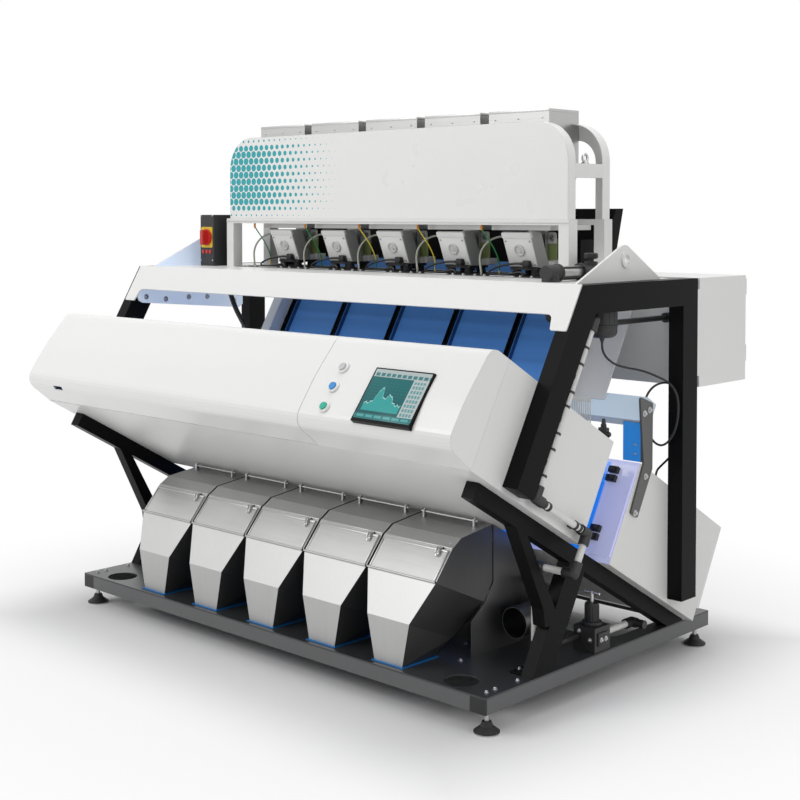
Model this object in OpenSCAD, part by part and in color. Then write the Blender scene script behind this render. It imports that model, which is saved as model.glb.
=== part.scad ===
// Optical colour sorter with five chutes.
// Sizes are in millimetres. X runs across the machine, Y from its front to its rear and Z up.

/* [Base] */
// Width of the base over its side rails
base_width = 2200; // [2180:5:2240]
// Depth of the base
base_depth = 1324; // [1300:4:1360]
// Height of the deck's upper face above the floor
base_height = 128; // [120:2:140]
// Width of a side rail
side_rail_width = 65; // [58:1:75]
// Height of the rails
rail_height = 50; // [42:1:56]
// Thickness of the deck plate
deck_thickness = 6; // [4:1:8]
// Diameter of the two round holes in the deck
deck_hole_diameter = 120; // [90:2:124]
// Diameter of a levelling foot
foot_diameter = 85; // [70:1:95]

/* [Frames] */
// Depth of a lower beam, square to its slope
beam_depth = 55; // [48:1:60]
// Width of the lower beams, legs and braces
beam_width = 50; // [40:1:56]
// Depth of the legs and of the upper frame's tubes
post_depth = 95; // [84:1:100]
// Width of the upper frame's tubes
post_width = 60; // [52:1:66]
// Height of the upper frame's top above the deck
frame_rise = 1282; // [1270:2:1300]

/* [Housings] */
// Width of both optical housings
housing_width = 2300; // [2290:2:2330]
// Height of the housings, square to their slope
housing_height = 372; // [364:2:380]
// Length of the front housing behind its cover
front_length = 649; // [630:1:655]
// Gap between the housings, where the product falls
product_gap = 188; // [180:1:200]
// Length of the rear housing
rear_length = 620; // [600:2:630]
// Depth of the front cover
cover_depth = 142; // [130:1:150]
// Sheet thickness of the housings and covers
sheet = 4; // [3:0.5:5]

/* [Outlets] */
// Distance between two chutes
chute_pitch = 325; // [322:1:328]
// Width of an outlet
outlet_width = 130; // [120:1:140]
// Depth of an outlet
outlet_depth = 164; // [150:1:168]
// Sheet thickness of the hoppers
hopper_wall = 3; // [2:0.5:4]
// Outer diameter of the round spigot
spigot_diameter = 110; // [100:1:116]

/* [Feeders] */
// Width of a chute
chute_width = 300; // [296:1:304]
// Width of a feeder tray
tray_width = 276; // [260:2:286]
// Width of a feed box
feed_box_width = 282; // [270:2:290]
// Depth of a feed box
feed_box_depth = 180; // [172:1:182]
// Height of the feed boxes
feed_box_height = 357; // [340:1:370]

/* [Hood] */
// Width of the hood panels
hood_width = 1850; // [1840:2:1860]
// Height of the hood panels
hood_height = 351; // [330:1:351]
// Radius of the hood panels' upper corners
hood_corner = 140; // [110:1:160]

/* [Cabinet] */
// Width of the control cabinet
cabinet_width = 800; // [700:5:860]
// Depth of the control cabinet without its door
cabinet_depth = 328; // [310:2:340]
// Height of the control cabinet
cabinet_height = 393; // [370:1:400]

/* [Controls] */
// Width of the touch screen
screen_width = 252; // [230:1:270]
// Height of the touch screen
screen_height = 198; // [180:1:205]
// Diameter of a push button
button_diameter = 26; // [22:1:30]

/* [Air] */
// Outer diameter of the air pipes
pipe_diameter = 24; // [20:1:26]

/* [Hidden] */
$fn = 40;
tiny = 0.01;
tilt = 30;
chute_count = 5;
fit = 0.3;
bore_play = 0.05;

half_base = base_width / 2;
rail_top = base_height - deck_thickness;
rail_bottom = rail_top - rail_height;
cap_length = 8;
front_rail = 10;
rear_rail = 50;
hole_x = 935;
hole_y = 76;
cutout_gap = 1;
cutout_half = half_base - side_rail_width - cutout_gap;
cutout_front = 755;
cutout_rear = 1150;
cutout_corner = 90;
foot_inset = 45;
foot_disc = 4;
foot_bell = 34;
foot_stud = 8;
foot_nut = 13;
foot_nut_height = 10;

// The housings lie on a slope. On it, s runs down to the rear and d square to it, up.
slope_front_y = -34;
slope_foot_y = 1149;
slope_front_z = base_height + (slope_foot_y - slope_front_y) * tan(tilt);
function on_slope(s, d) =
    [slope_front_y + s * cos(tilt) + d * sin(tilt), slope_front_z - s * sin(tilt) + d * cos(tilt)];
function rise_at(s, z) = (z - slope_front_z + s * sin(tilt)) / cos(tilt);
function line_y(s, z) = on_slope(s, rise_at(s, z)).x;
function slope_z(y) = slope_front_z - (y - slope_front_y) * tan(tilt);

leg_front = 238;
leg_rear = leg_front + post_depth / cos(tilt);
brace_depth = 50;
brace_foot = 353;
brace_foot_z = base_height + 217;

half_housing = housing_width / 2;
frame_outer = half_housing + post_width;
frame_top = base_height + frame_rise;
post_s = 51;
post_d = 15;
rear_post_y = 956;
rear_post_z = base_height + 129;
rear_post_back = rear_post_y + post_depth;

lug_thickness = 10;
lug_low = 85;
lug_bore = 30;
lug_boss = 56;
lug_y = 680;
lug_rear = rear_post_y - 36;
lug_rise = 74;

seam_s = -112;
front_end_s = seam_s + front_length;
rear_start_s = front_end_s + product_gap;
rear_end_s = rear_start_s + rear_length;
door_thickness = 18;
door_lift = 52;
cover_s = seam_s - cover_depth;
cover_top_s = cover_s + 46;
cover_low = 24;
cover_lip = 1;
cover_bulge = 12;
split_x = 480;
cover_play = 2;
window_margin = 37.5;
window_half = chute_count / 2 * chute_pitch + window_margin;

hinge_radius = 6;
hinge_pin = 3;
hinge_lift = hinge_radius + 0.5;
hinge_leaf = 28;

hopper_half = 158;
hopper_front = 29;
gasket = 3;
neck_half = 97;
neck_front = [28, base_height + 154];
neck_rear = [243, base_height + 61];
lid_foot = [93, base_height + 291];
lid_head = [174, base_height + 389];
hopper_top = [221, base_height + 419];
hopper_rear = 386;
hopper_back = base_height + 241;
hopper_heel = [343, base_height + 177];
lid_angle = atan2(lid_head.y - lid_foot.y, lid_head.x - lid_foot.x);
lid_length = norm(lid_head - lid_foot);
lid_half = 152;
lid_hinge = 4;
lid_pin = 2;

duct_half = (chute_count - 1) / 2 * chute_pitch + hopper_half + 1;
duct_wall = 3;
duct_front = 270;
duct_rear = 600;
duct_lip = [452, base_height + 182];
duct_low = base_height + 145;
spigot_x = duct_half + spigot_diameter / 2 + 6;
spigot_z = base_height + 98;
spigot_front = 430;
spigot_rear = 545;

bank_depth = 30;
bank_length = 29;

deck_plate = 5;
crossbeam_plate = 5;
crossbeam_inset = 14;
crossbeam_face = 98;
crossbeam_tab = 147;
crossbeam_tab_width = 66;
tab_corner = 22;
cheek_s = 560;
cheek = 4;
deck_rear = line_y(cheek_s + 15, frame_top);
chute_s = 645;
chute_sheet = 3;
chute_lip = 20;
chute_low = 490;
chute_top = 1107;
rib_s = chute_s - 26;
rib_width = chute_pitch - chute_width;
ribs_half = chute_count / 2 * chute_pitch + rib_width / 2;
flank_outer = 980;
flank_low = 560;
flank_top = 980;
guard_foot = on_slope(chute_s + chute_sheet, chute_top);
guard_head = guard_foot + [57, 215];
guard_sheet = 4;
guard_side = 865;
guard_side_top = frame_top + 135;

beam_low = 500;
beam_high = 590;
beam_thick = 64;
arm_s = rear_start_s + 23;
arm_width = 46;
arm_low = 195;
arm_y = 766;
arm_top = base_height + 877;
arm_sheet = 8;

mount_height = 22;
drive_plate = 10;
drive_floor = frame_top + mount_height + drive_plate;
drive_front = 760;
drive_half = 68;
drive_height = 132;
drive_depth = 64;
drive_lean = 53;
tray_floor = drive_floor + drive_height + 6;
tray_front = 735;
tray_rear = 985;
tray_sheet = 3;
tray_side = 36;
tray_post_y = 834;
tray_post = 16;
mount_rear = tray_post_y + tray_post + 14;

hood_post = 50;
hood_post_width = 45;
hood_front = 645;
hood_rear = 909;
hood_rail = frame_top + 190;
hood_floor = hood_rail + 21;
hood_half = hood_width / 2;
hood_frame_half = hood_half + 12;
hood_band = 45;
hood_face = 10;
hood_sheet = 4;
hood_arch = 60;
box_front = 721;
box_floor = hood_floor + 44;
box_wall = 3;
gate_height = 125;
gate_half = 110;
gate_front = 14;
gate_rear = 129;
boxes_half = (chute_count - 1) / 2 * chute_pitch + feed_box_width / 2;

cabinet_gap = 12;
cabinet_front = rear_post_back + cabinet_gap;
cabinet_rear = cabinet_front + cabinet_depth;
cabinet_low = frame_top - cabinet_height;
cabinet_left = frame_outer - cabinet_width;
cabinet_door_sheet = 12;
louvre_depth = 30;
louvre_low = cabinet_low + 121;
louvre_high = cabinet_low + 335;
louvre_count = 9;
cabinet_hinge = 6;

isolator_x = -1070;
isolator_y = 600;
isolator_size = [95, 145, 227];
handle_rise = 127;
handle_radius = 36;

pipe_radius = pipe_diameter / 2;
sleeve_radius = pipe_radius + 6;
air_x = half_housing + 30;
air_s = post_s + post_depth + 30 + pipe_radius;
air_run_d = 35;
air_turn_s = 505;
air_drop_d = -105;
air_inner_x = 1020;
valve_x = 1000;
valve_rise = 34;
tap_y = 690;
tap_height = 64;
air_low_z = base_height + 47;
filter_x = 1080;
filter_y = 645;
filter_radius = 52;
filter_low = frame_top - 195;
filter_port_z = frame_top - 120;
filter_out_z = frame_top - 148;
regulator_low = [1005, 590, base_height];
regulator_size = [90, 90, 87];
regulator_neck = 75;
regulator_x = 1050;
regulator_y = 635;

louvre_back = cabinet_rear + cabinet_door_sheet + louvre_depth;
front_corner = 50;

// Helpers for points

function unit(v) = v / norm(v);
function chute_x(k) = (k - (chute_count + 1) / 2) * chute_pitch;

// The arc that rounds the corner b, between its neighbours a and c
function corner_arc(a, b, c, r, n) =
    let (
        u = unit(a - b),
        v = unit(c - b),
        half = acos(u * v) / 2,
        centre = b + unit(u + v) * r / sin(half),
        p = b + u * r / tan(half) - centre,
        q = b + v * r / tan(half) - centre,
        start = atan2(p.y, p.x),
        turn = atan2(p.x * q.y - p.y * q.x, p * q))
    [for (i = [0 : n]) centre + r * [cos(start + turn * i / n), sin(start + turn * i / n)]];

// An outline with its corners rounded to the radii given
function rounded(points, radii, n = 6) =
    let (count = len(points))
    [for (i = [0 : count - 1])
        each (radii[i] == 0 ? [points[i]]
            : corner_arc(points[(i + count - 1) % count], points[i], points[(i + 1) % count], radii[i], n))];

// A convex outline, counter-clockwise, moved in by t
function inward(a, b) = unit([a.y - b.y, b.x - a.x]);
function inset(points, t) =
    let (count = len(points))
    [for (i = [0 : count - 1])
        let (
            n = inward(points[(i + count - 1) % count], points[i]),
            m = inward(points[i], points[(i + 1) % count]))
        points[i] + (n + m) * t / (1 + n * m)];

// Helpers for solids

panel_angle = atan2(housing_height - cover_low, cover_top_s - cover_s);
screen_x = 866;
screen_d = 152;
screen_proud = 4;
screen_depth = 30;
screen_foot = [panel_s(screen_d), screen_d] - [cos(panel_angle), sin(panel_angle)] * screen_height / 2
    + [-sin(panel_angle), cos(panel_angle)] * screen_proud;
front_y = min([for (p = concat(cover_outline(0, cover_play), [screen_foot])) on_slope(p.x, p.y).x]);
y_middle = (front_y + louvre_back) / 2;

module placed() {
    translate([0, -y_middle, 0]) children();
}

module sloped() {
    translate([0, slope_front_y, slope_front_z]) rotate([-tilt, 0, 0]) children();
}

module both_sides() {
    children();
    mirror([1, 0, 0]) children();
}

module block(low, high) {
    translate(low) cube(high - low);
}

// An outline in Y and Z, pulled out along X
module across(x0, x1) {
    translate([x0, 0, 0]) rotate([90, 0, 90]) linear_extrude(x1 - x0) children();
}

// An outline in X and Z, pulled out along Y
module through(y0, y1) {
    translate([0, y1, 0]) rotate([90, 0, 0]) linear_extrude(y1 - y0) children();
}

module rod_x(x0, x1, r) {
    translate([x0, 0, 0]) rotate([0, 90, 0]) cylinder(r = r, h = x1 - x0);
}

module rod(a, b, r) {
    v = b - a;
    translate(a) rotate([0, acos(v.z / norm(v)), atan2(v.y, v.x)]) cylinder(r = r, h = norm(v));
}

module at_each(points) {
    for (p = points) translate(p) children();
}

// Base

module base_frame() {
    color("dimgray") placed() {
        rail_end = half_base - side_rail_width;
        both_sides() block([rail_end, cap_length, rail_bottom], [half_base, base_depth, rail_top]);
        block([-rail_end, 0, rail_bottom], [rail_end, front_rail, rail_top]);
        block([-rail_end, base_depth - rear_rail, rail_bottom], [rail_end, base_depth, rail_top]);
    }
}

module base_deck() {
    cutout = [[-cutout_half, cutout_front], [cutout_half, cutout_front], [cutout_half, cutout_rear],
        [-cutout_half, cutout_rear]];
    color("slategray") placed() translate([0, 0, rail_top]) difference() {
        linear_extrude(deck_thickness) difference() {
            translate([-half_base, 0]) square([base_width, base_depth]);
            polygon(rounded(cutout, [for (p = cutout) cutout_corner]));
        }
        both_sides() translate([hole_x, hole_y, -1]) cylinder(d = deck_hole_diameter, h = deck_thickness + 2);
        for (k = [1 : chute_count]) translate([chute_x(k), hopper_front, 0])
            block([hopper_wall - outlet_width / 2, hopper_wall, -1],
                [outlet_width / 2 - hopper_wall, outlet_depth - hopper_wall, deck_thickness + 1]);
    }
}

module rail_end_caps() {
    color("black") placed()
        both_sides() block([half_base - side_rail_width, 0, rail_bottom], [half_base, cap_length, rail_top]);
}

foot_places = [for (x = [-1, 1], y = [foot_inset, base_depth - foot_inset])
    [x * (half_base - side_rail_width / 2), y, 0]];

module levelling_feet() {
    color("black") placed() at_each(foot_places) rotate_extrude()
        polygon([[0, foot_disc], [foot_diameter / 2, foot_disc], [foot_diameter / 2, foot_disc + 3],
            [foot_diameter / 4, foot_disc + foot_bell * 0.55], [foot_nut + 2, foot_disc + foot_bell],
            [0, foot_disc + foot_bell]]);
}

module foot_studs() {
    color("silver") placed() at_each(foot_places) {
        cylinder(d = foot_diameter, h = foot_disc);
        translate([0, 0, foot_disc + foot_bell])
            cylinder(r = foot_stud, h = rail_bottom - foot_disc - foot_bell);
        translate([0, 0, rail_bottom - foot_nut_height]) cylinder(r = foot_nut, h = foot_nut_height, $fn = 6);
    }
}

// Frames

module lower_frames() {
    beam = [on_slope(0, -tiny), on_slope(0, -beam_depth),
        [slope_foot_y - beam_depth / sin(tilt), base_height], [slope_foot_y - tiny / sin(tilt), base_height]];
    lean = tan(tilt);
    leg_head = slope_z(leg_rear) - beam_depth - base_height;
    brace_head = beam_depth / cos(tilt) + 8;
    brace_top_y = brace_foot - (slope_z(200) - brace_head - brace_foot_z) * lean;
    brace_run = brace_depth / cos(tilt);
    color("black") placed() both_sides() across(half_base - beam_width, half_base) {
        polygon(beam);
        intersection() {
            polygon([[leg_front, base_height], [leg_rear, base_height],
                [leg_rear + leg_head * lean, base_height + leg_head],
                [leg_front + leg_head * lean, base_height + leg_head]]);
            polygon([[leg_front - 10, base_height], [slope_foot_y, base_height],
                on_slope(0, -beam_depth / 2)]);
        }
        polygon([[brace_foot, brace_foot_z], [brace_foot + 14, brace_foot_z - 60],
            [brace_foot - brace_run + 8, brace_foot_z - 60], [brace_foot - brace_run, brace_foot_z],
            [brace_top_y - brace_run, slope_z(brace_top_y - brace_run) - beam_depth],
            [brace_top_y, slope_z(brace_top_y) - beam_depth]]);
    }
}

module upper_frames() {
    post_end = post_s + post_depth;
    color("black") placed() both_sides() across(half_housing, frame_outer) {
        polygon([on_slope(post_s, post_d), on_slope(post_end, post_d),
            [line_y(post_end, frame_top), frame_top], [line_y(post_s, frame_top), frame_top]]);
        polygon([[line_y(post_s + 20, frame_top - post_depth), frame_top - post_depth],
            [rear_post_back, frame_top - post_depth], [rear_post_back, frame_top],
            [line_y(post_s + 20, frame_top), frame_top]]);
        polygon([[rear_post_y, rear_post_z], [rear_post_back, rear_post_z],
            [rear_post_back, frame_top], [rear_post_y, frame_top]]);
    }
}

module lifting_lugs() {
    front_s = post_s + 6;
    low = frame_top - lug_low;
    high = frame_top - 15;
    outline = [[line_y(front_s, low), low], [lug_rear, low], [lug_rear, frame_top - 10],
        [lug_y, frame_top + lug_rise + 56], [line_y(front_s, high), high]];
    color("white") placed() both_sides() difference() {
        union() {
            across(half_housing - lug_thickness, half_housing) polygon(rounded(outline, [32, 14, 8, 46, 32]));
            translate([0, lug_y, frame_top + lug_rise])
                rod_x(half_housing - tiny, half_housing + 8, lug_boss / 2);
        }
        translate([0, lug_y, frame_top + lug_rise])
            rod_x(half_housing - lug_thickness - 1, half_housing + 9, lug_bore / 2);
    }
}

// Housings and cover

// One hinge along X at the origin: the barrel and its leaf, with a bore where it turns
module hinge_barrel(x0, x1, leaf, bore) {
    difference() {
        union() {
            rod_x(x0, x1, hinge_radius);
            block([x0, min(0, leaf), -hinge_lift], [x1, max(0, leaf), -hinge_radius + 3]);
        }
        if (bore) rod_x(x0 - 1, x1 + 1, hinge_pin + bore_play);
    }
}

hinge_span = 40;
cover_hinges = [-1000, -335, 330];
door_hinges = [-800, 0, 800];

// The middle barrels of a row of hinges, with their pins
module hinge_fixed(places, leaf) {
    for (x = places) translate([x, 0, 0]) {
        hinge_barrel(-hinge_span / 2, hinge_span / 2, leaf, false);
        rod_x(-hinge_span * 1.5, hinge_span * 1.5, hinge_pin);
    }
}

// The outer barrels, which turn on those pins
module hinge_turning(places, leaf) {
    for (x = places, side = [-1, 1]) translate([x + side * hinge_span, 0, 0])
        hinge_barrel(-hinge_span / 2 + fit, hinge_span / 2 - fit, leaf, true);
}

// A cable gland that stands on a housing's top and ends at a cable's last point
module gland(end, r) {
    foot = slope_z(end.y) + housing_height / cos(tilt) - sheet / 2;
    placed() rod([end.x, end.y, foot], end, r);
}

module housing_box(s0, s1, t) {
    block([-half_housing, s0, 0], [half_housing, s1, t]);
    block([-half_housing, s0, housing_height - t], [half_housing, s1, housing_height]);
    both_sides() block([half_housing - t, s0, 0], [half_housing, s1, housing_height]);
}

module front_housing() {
    color("white") placed() sloped() {
        difference() {
            union() {
                housing_box(seam_s, front_end_s, sheet);
                block([-half_housing, front_end_s - sheet, 0], [half_housing, front_end_s, housing_height]);
            }
            block([-window_half, front_end_s - sheet - 1, 70], [window_half, front_end_s + 1, 330]);
        }
        translate([0, seam_s, housing_height + hinge_lift]) hinge_fixed(cover_hinges, hinge_leaf);
    }
    gland(hose_end, hose_radius + 5);
}

function cover_outline(t, play) =
    let (
        top = housing_height - t,
        lip = cover_lip + t,
        back = seam_s - play + (t > 0 ? 1 : 0),
        middle = [(cover_s + cover_top_s) / 2 - cover_bulge + t, housing_height / 2])
    rounded([[back, top], [cover_top_s + t, top], middle, [cover_s + t, cover_low + t], [back, lip]],
        [0, 45 - t, 900, front_corner - t, 0]);

module cover_shell(x0, x1, play) {
    difference() {
        across(x0, x1) polygon(cover_outline(0, play));
        across(x0 + sheet, x1 - sheet) polygon(cover_outline(sheet, play));
    }
}

module front_cover() {
    color("white") placed() sloped() {
        difference() {
            cover_shell(-half_housing, split_x - cover_play / 2, cover_play);
            block([-half_housing + 170, cover_s + 22, cover_lip],
                [-half_housing + 230, cover_s + 42, front_corner]);
        }
        translate([0, seam_s, housing_height + hinge_lift]) hinge_turning(cover_hinges, -hinge_leaf);
    }
}

// The frame of the control panel's face at height d, with Z pointing out of it
function panel_s(d) =
    let (u = (d - cover_low) / (housing_height - cover_low))
    cover_s + (cover_top_s - cover_s) * u - cover_bulge * (1 - pow(2 * u - 1, 2));
module on_panel(x, d) {
    translate([x, panel_s(d), d]) rotate([panel_angle, 0, 0]) children();
}

button_x = 591;
button_d = [90, 164, 238];
button_travel = 4;
button_proud = 10;
bezel_width = 7;
bezel_proud = 3;
bezel_depth = 16;

module screen_block() {
    on_panel(screen_x, screen_d)
        block([-screen_width / 2, -screen_height / 2, -screen_depth],
            [screen_width / 2, screen_height / 2, screen_proud]);
}

module control_panel() {
    bezel_radius = button_diameter / 2 + bezel_width;
    color("white") placed() sloped() difference() {
        union() {
            cover_shell(split_x + cover_play / 2, half_housing, 0);
            for (d = button_d) on_panel(button_x, d)
                translate([0, 0, -bezel_depth]) cylinder(r = bezel_radius, h = bezel_depth + bezel_proud);
        }
        screen_block();
        for (d = button_d) on_panel(button_x, d)
            translate([0, 0, -bezel_depth - 1])
                cylinder(d = button_diameter + 2 * bore_play, h = bezel_depth + 9);
    }
}

module touch_screen() {
    color("teal") placed() sloped() screen_block();
}

module push_button(i) {
    placed() sloped() on_panel(button_x, button_d[i])
        translate([0, 0, -bezel_depth]) cylinder(d = button_diameter, h = bezel_depth + button_proud);
}

module button_green() {
    color("green") push_button(0);
}

module button_blue() {
    color("steelblue") push_button(1);
}

module button_grey() {
    color("lightgray") push_button(2);
}

module camera_modules() {
    plate = 6;
    lens_s = front_end_s - 157;
    color("dimgray") placed() sloped() {
        block([-window_half, lens_s - 280, sheet], [window_half, lens_s - 60, sheet + plate]);
        block([-window_half, lens_s + 50, sheet], [window_half, lens_s + 100, sheet + 50]);
        for (k = [1 : chute_count]) translate([chute_x(k), lens_s, sheet + plate]) {
            block([-30, -230, 0], [30, -100, 130]);
            block([-55, -250, 130], [55, -80, 250]);
            rod([0, -80, 190], [0, 0, 190], 34);
        }
    }
}

module viewing_windows() {
    color("lightskyblue") placed() sloped() {
        block([-window_half - 20, front_end_s, 60], [window_half + 20, front_end_s + 4, 340]);
        block([-half_housing + 6, rear_start_s - 6, 24],
            [half_housing - 6, rear_start_s, housing_height - 14]);
    }
}

module rear_housing() {
    color("white") placed() sloped() {
        difference() {
            union() {
                housing_box(rear_start_s, rear_end_s, sheet);
                block([-half_housing, rear_start_s, 0], [half_housing, rear_start_s + sheet, housing_height]);
                block([-half_housing, rear_end_s - sheet, 0], [half_housing, rear_end_s, door_lift - 2]);
            }
            block([-window_half, rear_start_s - 1, 60], [window_half, rear_start_s + sheet + 1, 330]);
        }
        translate([0, rear_end_s, housing_height + hinge_lift]) hinge_fixed(door_hinges, -hinge_leaf);
    }
    gland(sensor_end, sensor_radius + 5);
}

module rear_door() {
    door_edge = 2;
    door_s = rear_end_s + fit;
    color("white") placed() sloped() {
        difference() {
            block([-half_housing + door_edge, door_s, door_lift],
                [half_housing - door_edge, rear_end_s + door_thickness, housing_height]);
            block([-half_housing + door_edge + sheet, door_s - 1, door_lift + sheet],
                [half_housing - door_edge - sheet, rear_end_s + door_thickness - sheet,
                    housing_height - sheet]);
        }
        translate([0, rear_end_s, housing_height + hinge_lift]) hinge_turning(door_hinges, door_thickness);
    }
}

module light_beam() {
    s0 = chute_s + chute_sheet;
    color("aliceblue") placed() sloped()
        block([-half_housing, s0, beam_low], [half_housing, s0 + beam_thick, beam_high]);
}

module beam_arms() {
    corner = 8;
    flange = 77;
    strip = [on_slope(arm_s, arm_low), on_slope(arm_s + arm_width, arm_low),
        on_slope(arm_s + arm_width, housing_height + 8), [arm_y + 79, arm_top - 29], [arm_y, arm_top],
        on_slope(arm_s - 12, housing_height)];
    flange_y = on_slope(rear_start_s, housing_height).x + 6;
    flange_low = on_slope(rear_start_s, housing_height).y + 2;
    flange_high = on_slope(chute_s + chute_sheet, beam_low).y - 10;
    color("gray") placed() both_sides() {
        across(half_housing, half_housing + arm_sheet) polygon(rounded(strip, [for (p = strip) corner]));
        block([half_housing - flange, flange_y, flange_low], [half_housing, flange_y + 4, flange_high]);
    }
}

module ejector_bank() {
    half = duct_half - 2;
    bank_s = front_end_s - bank_length;
    valve = [22, 16, 14];
    per_chute = 10;
    color("dimgray") placed() sloped() {
        block([-half, bank_s, -bank_depth], [half, front_end_s, 0]);
        for (k = [1 : chute_count], i = [0 : per_chute - 1])
            translate([chute_x(k) + (i - (per_chute - 1) / 2) * chute_width / per_chute - valve.x / 2,
                bank_s + 9, -bank_depth - valve.z]) cube(valve);
    }
}

// Outlets

// The neck of a hopper, from its outlet to the fold, with the wall moved in by t and both ends by e
function hopper_neck(t, e) =
    let (
        w = outlet_width / 2 - t,
        h = neck_half - t,
        y0 = hopper_front + t,
        y1 = hopper_front + outlet_depth - t,
        z = base_height + gasket - e)
    [[-w, y0, z], [w, y0, z], [w, y1, z], [-w, y1, z],
     [-h, neck_front.x + t, neck_front.y + e], [h, neck_front.x + t, neck_front.y + e],
     [h, neck_rear.x - t, neck_rear.y + e], [-h, neck_rear.x - t, neck_rear.y + e]];

// The flare above the neck, its wall moved in by t, its lower end dropped and its upper end raised
function hopper_flare(t, drop, raise) =
    let (
        n = neck_half - t,
        h = hopper_half - t,
        lean = (lid_foot.x - neck_front.x) / (lid_foot.y - neck_front.y),
        y = lid_foot.x + t + raise * lean)
    [[-n, neck_front.x + t, neck_front.y - drop], [n, neck_front.x + t, neck_front.y - drop],
     [n, neck_rear.x - t, neck_rear.y - drop], [-n, neck_rear.x - t, neck_rear.y - drop],
     [-h, y, lid_foot.y + raise], [h, y, lid_foot.y + raise],
     [h, hopper_heel.x - t, hopper_heel.y + raise], [-h, hopper_heel.x - t, hopper_heel.y + raise]];

module taper(points) {
    hull() polyhedron(points,
        [[0, 1, 2, 3], [7, 6, 5, 4], [0, 4, 5, 1], [1, 5, 6, 2], [2, 6, 7, 3], [3, 7, 4, 0]]);
}

hopper_lip = slope_z(hopper_rear) - 0.5;
function hopper_side() =
    [lid_foot, hopper_heel, [hopper_rear, hopper_back], [hopper_rear, hopper_lip], hopper_top, lid_head];

module on_lid() {
    translate([0, lid_foot.x, lid_foot.y]) rotate([lid_angle, 0, 0]) children();
}

lid_axis = lid_hinge + fit;
keeper_x = 112;

module outlet_hopper(k) {
    t = hopper_wall;
    color("silver") placed() translate([chute_x(k), 0, 0]) {
        difference() {
            union() {
                taper(hopper_neck(0, 0));
                taper(hopper_flare(0, 0, 0));
                across(-hopper_half, hopper_half) polygon(hopper_side());
            }
            taper(hopper_neck(t, 1));
            taper(hopper_flare(t, 1, 5));
            across(-hopper_half + t, hopper_half - t) polygon(inset(hopper_side(), t));
            block([-hopper_half + t, hopper_rear - t - 1, hopper_back + 6],
                [hopper_half - t, hopper_rear + 1, hopper_lip - 2 * t]);
            on_lid() block([-lid_half + 16, 18, -2 * t], [lid_half - 16, lid_length - 16, t]);
        }
        on_lid() {
            w = (hopper_half - lid_half - fit) / 2;
            for (side = [-1, 1]) translate([side * (hopper_half - w), 0, 0]) {
                translate([0, 0, lid_axis]) rod_x(-w, w, lid_hinge);
                block([-w, 0, 0], [w, lid_hinge, lid_axis]);
            }
            translate([0, 0, lid_axis]) rod_x(-hopper_half, hopper_half, lid_pin);
            block([keeper_x - 12, lid_length - 6, 0], [keeper_x + 12, lid_length, 9]);
        }
    }
}

module hopper_lid(k) {
    plate = 3;
    color("gainsboro") placed() translate([chute_x(k), 0, 0]) on_lid() {
        difference() {
            union() {
                translate([0, 0, lid_axis]) rod_x(-lid_half, lid_half, lid_hinge);
                block([-lid_half, 0, fit], [lid_half, lid_length - 7, fit + plate]);
            }
            translate([0, 0, lid_axis]) rod_x(-lid_half - 1, lid_half + 1, lid_pin + bore_play);
        }
        block([keeper_x - 10, lid_length - 34, fit + plate - tiny],
            [keeper_x + 10, lid_length - 8, fit + plate + 7]);
    }
}

module hopper_gaskets() {
    edge = 8;
    color("dodgerblue") placed() for (k = [1 : chute_count])
        translate([chute_x(k), 0, base_height]) difference() {
            block([-outlet_width / 2 - edge, hopper_front - edge, 0],
                [outlet_width / 2 + edge, hopper_front + outlet_depth + edge, gasket]);
            block([-outlet_width / 2 + hopper_wall, hopper_front + hopper_wall, -1],
                [outlet_width / 2 - hopper_wall, hopper_front + outlet_depth - hopper_wall, gasket + 1]);
        }
}

module hang_rods() {
    rod_radius = 4;
    reach = 130;
    lug_x = 117;
    rod_y = hopper_top.x + 119;
    panel_slope = (hopper_lip - hopper_top.y) / (hopper_rear - hopper_top.x);
    foot_z = function (y) hopper_top.y + (y - hopper_top.x) * panel_slope;
    rod_z = foot_z(rod_y) + 18;
    color("silver") placed() for (k = [1 : chute_count]) translate([chute_x(k), 0, 0]) {
        translate([0, rod_y, rod_z]) rod_x(-reach, reach, rod_radius);
        for (x = [-lug_x, lug_x]) {
            across(x - 4, x + 4) polygon([[rod_y - 8, foot_z(rod_y - 8)], [rod_y + 8, foot_z(rod_y + 8)],
                [rod_y + 8, rod_z + 7], [rod_y - 8, rod_z + 7]]);
            translate([x, rod_y, rod_z]) cylinder(r = 3, h = 11);
        }
    }
}

module spigot(y0, y1, r) {
    rod([spigot_x, y0, spigot_z], [spigot_x, y1, spigot_z], r);
}

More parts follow.
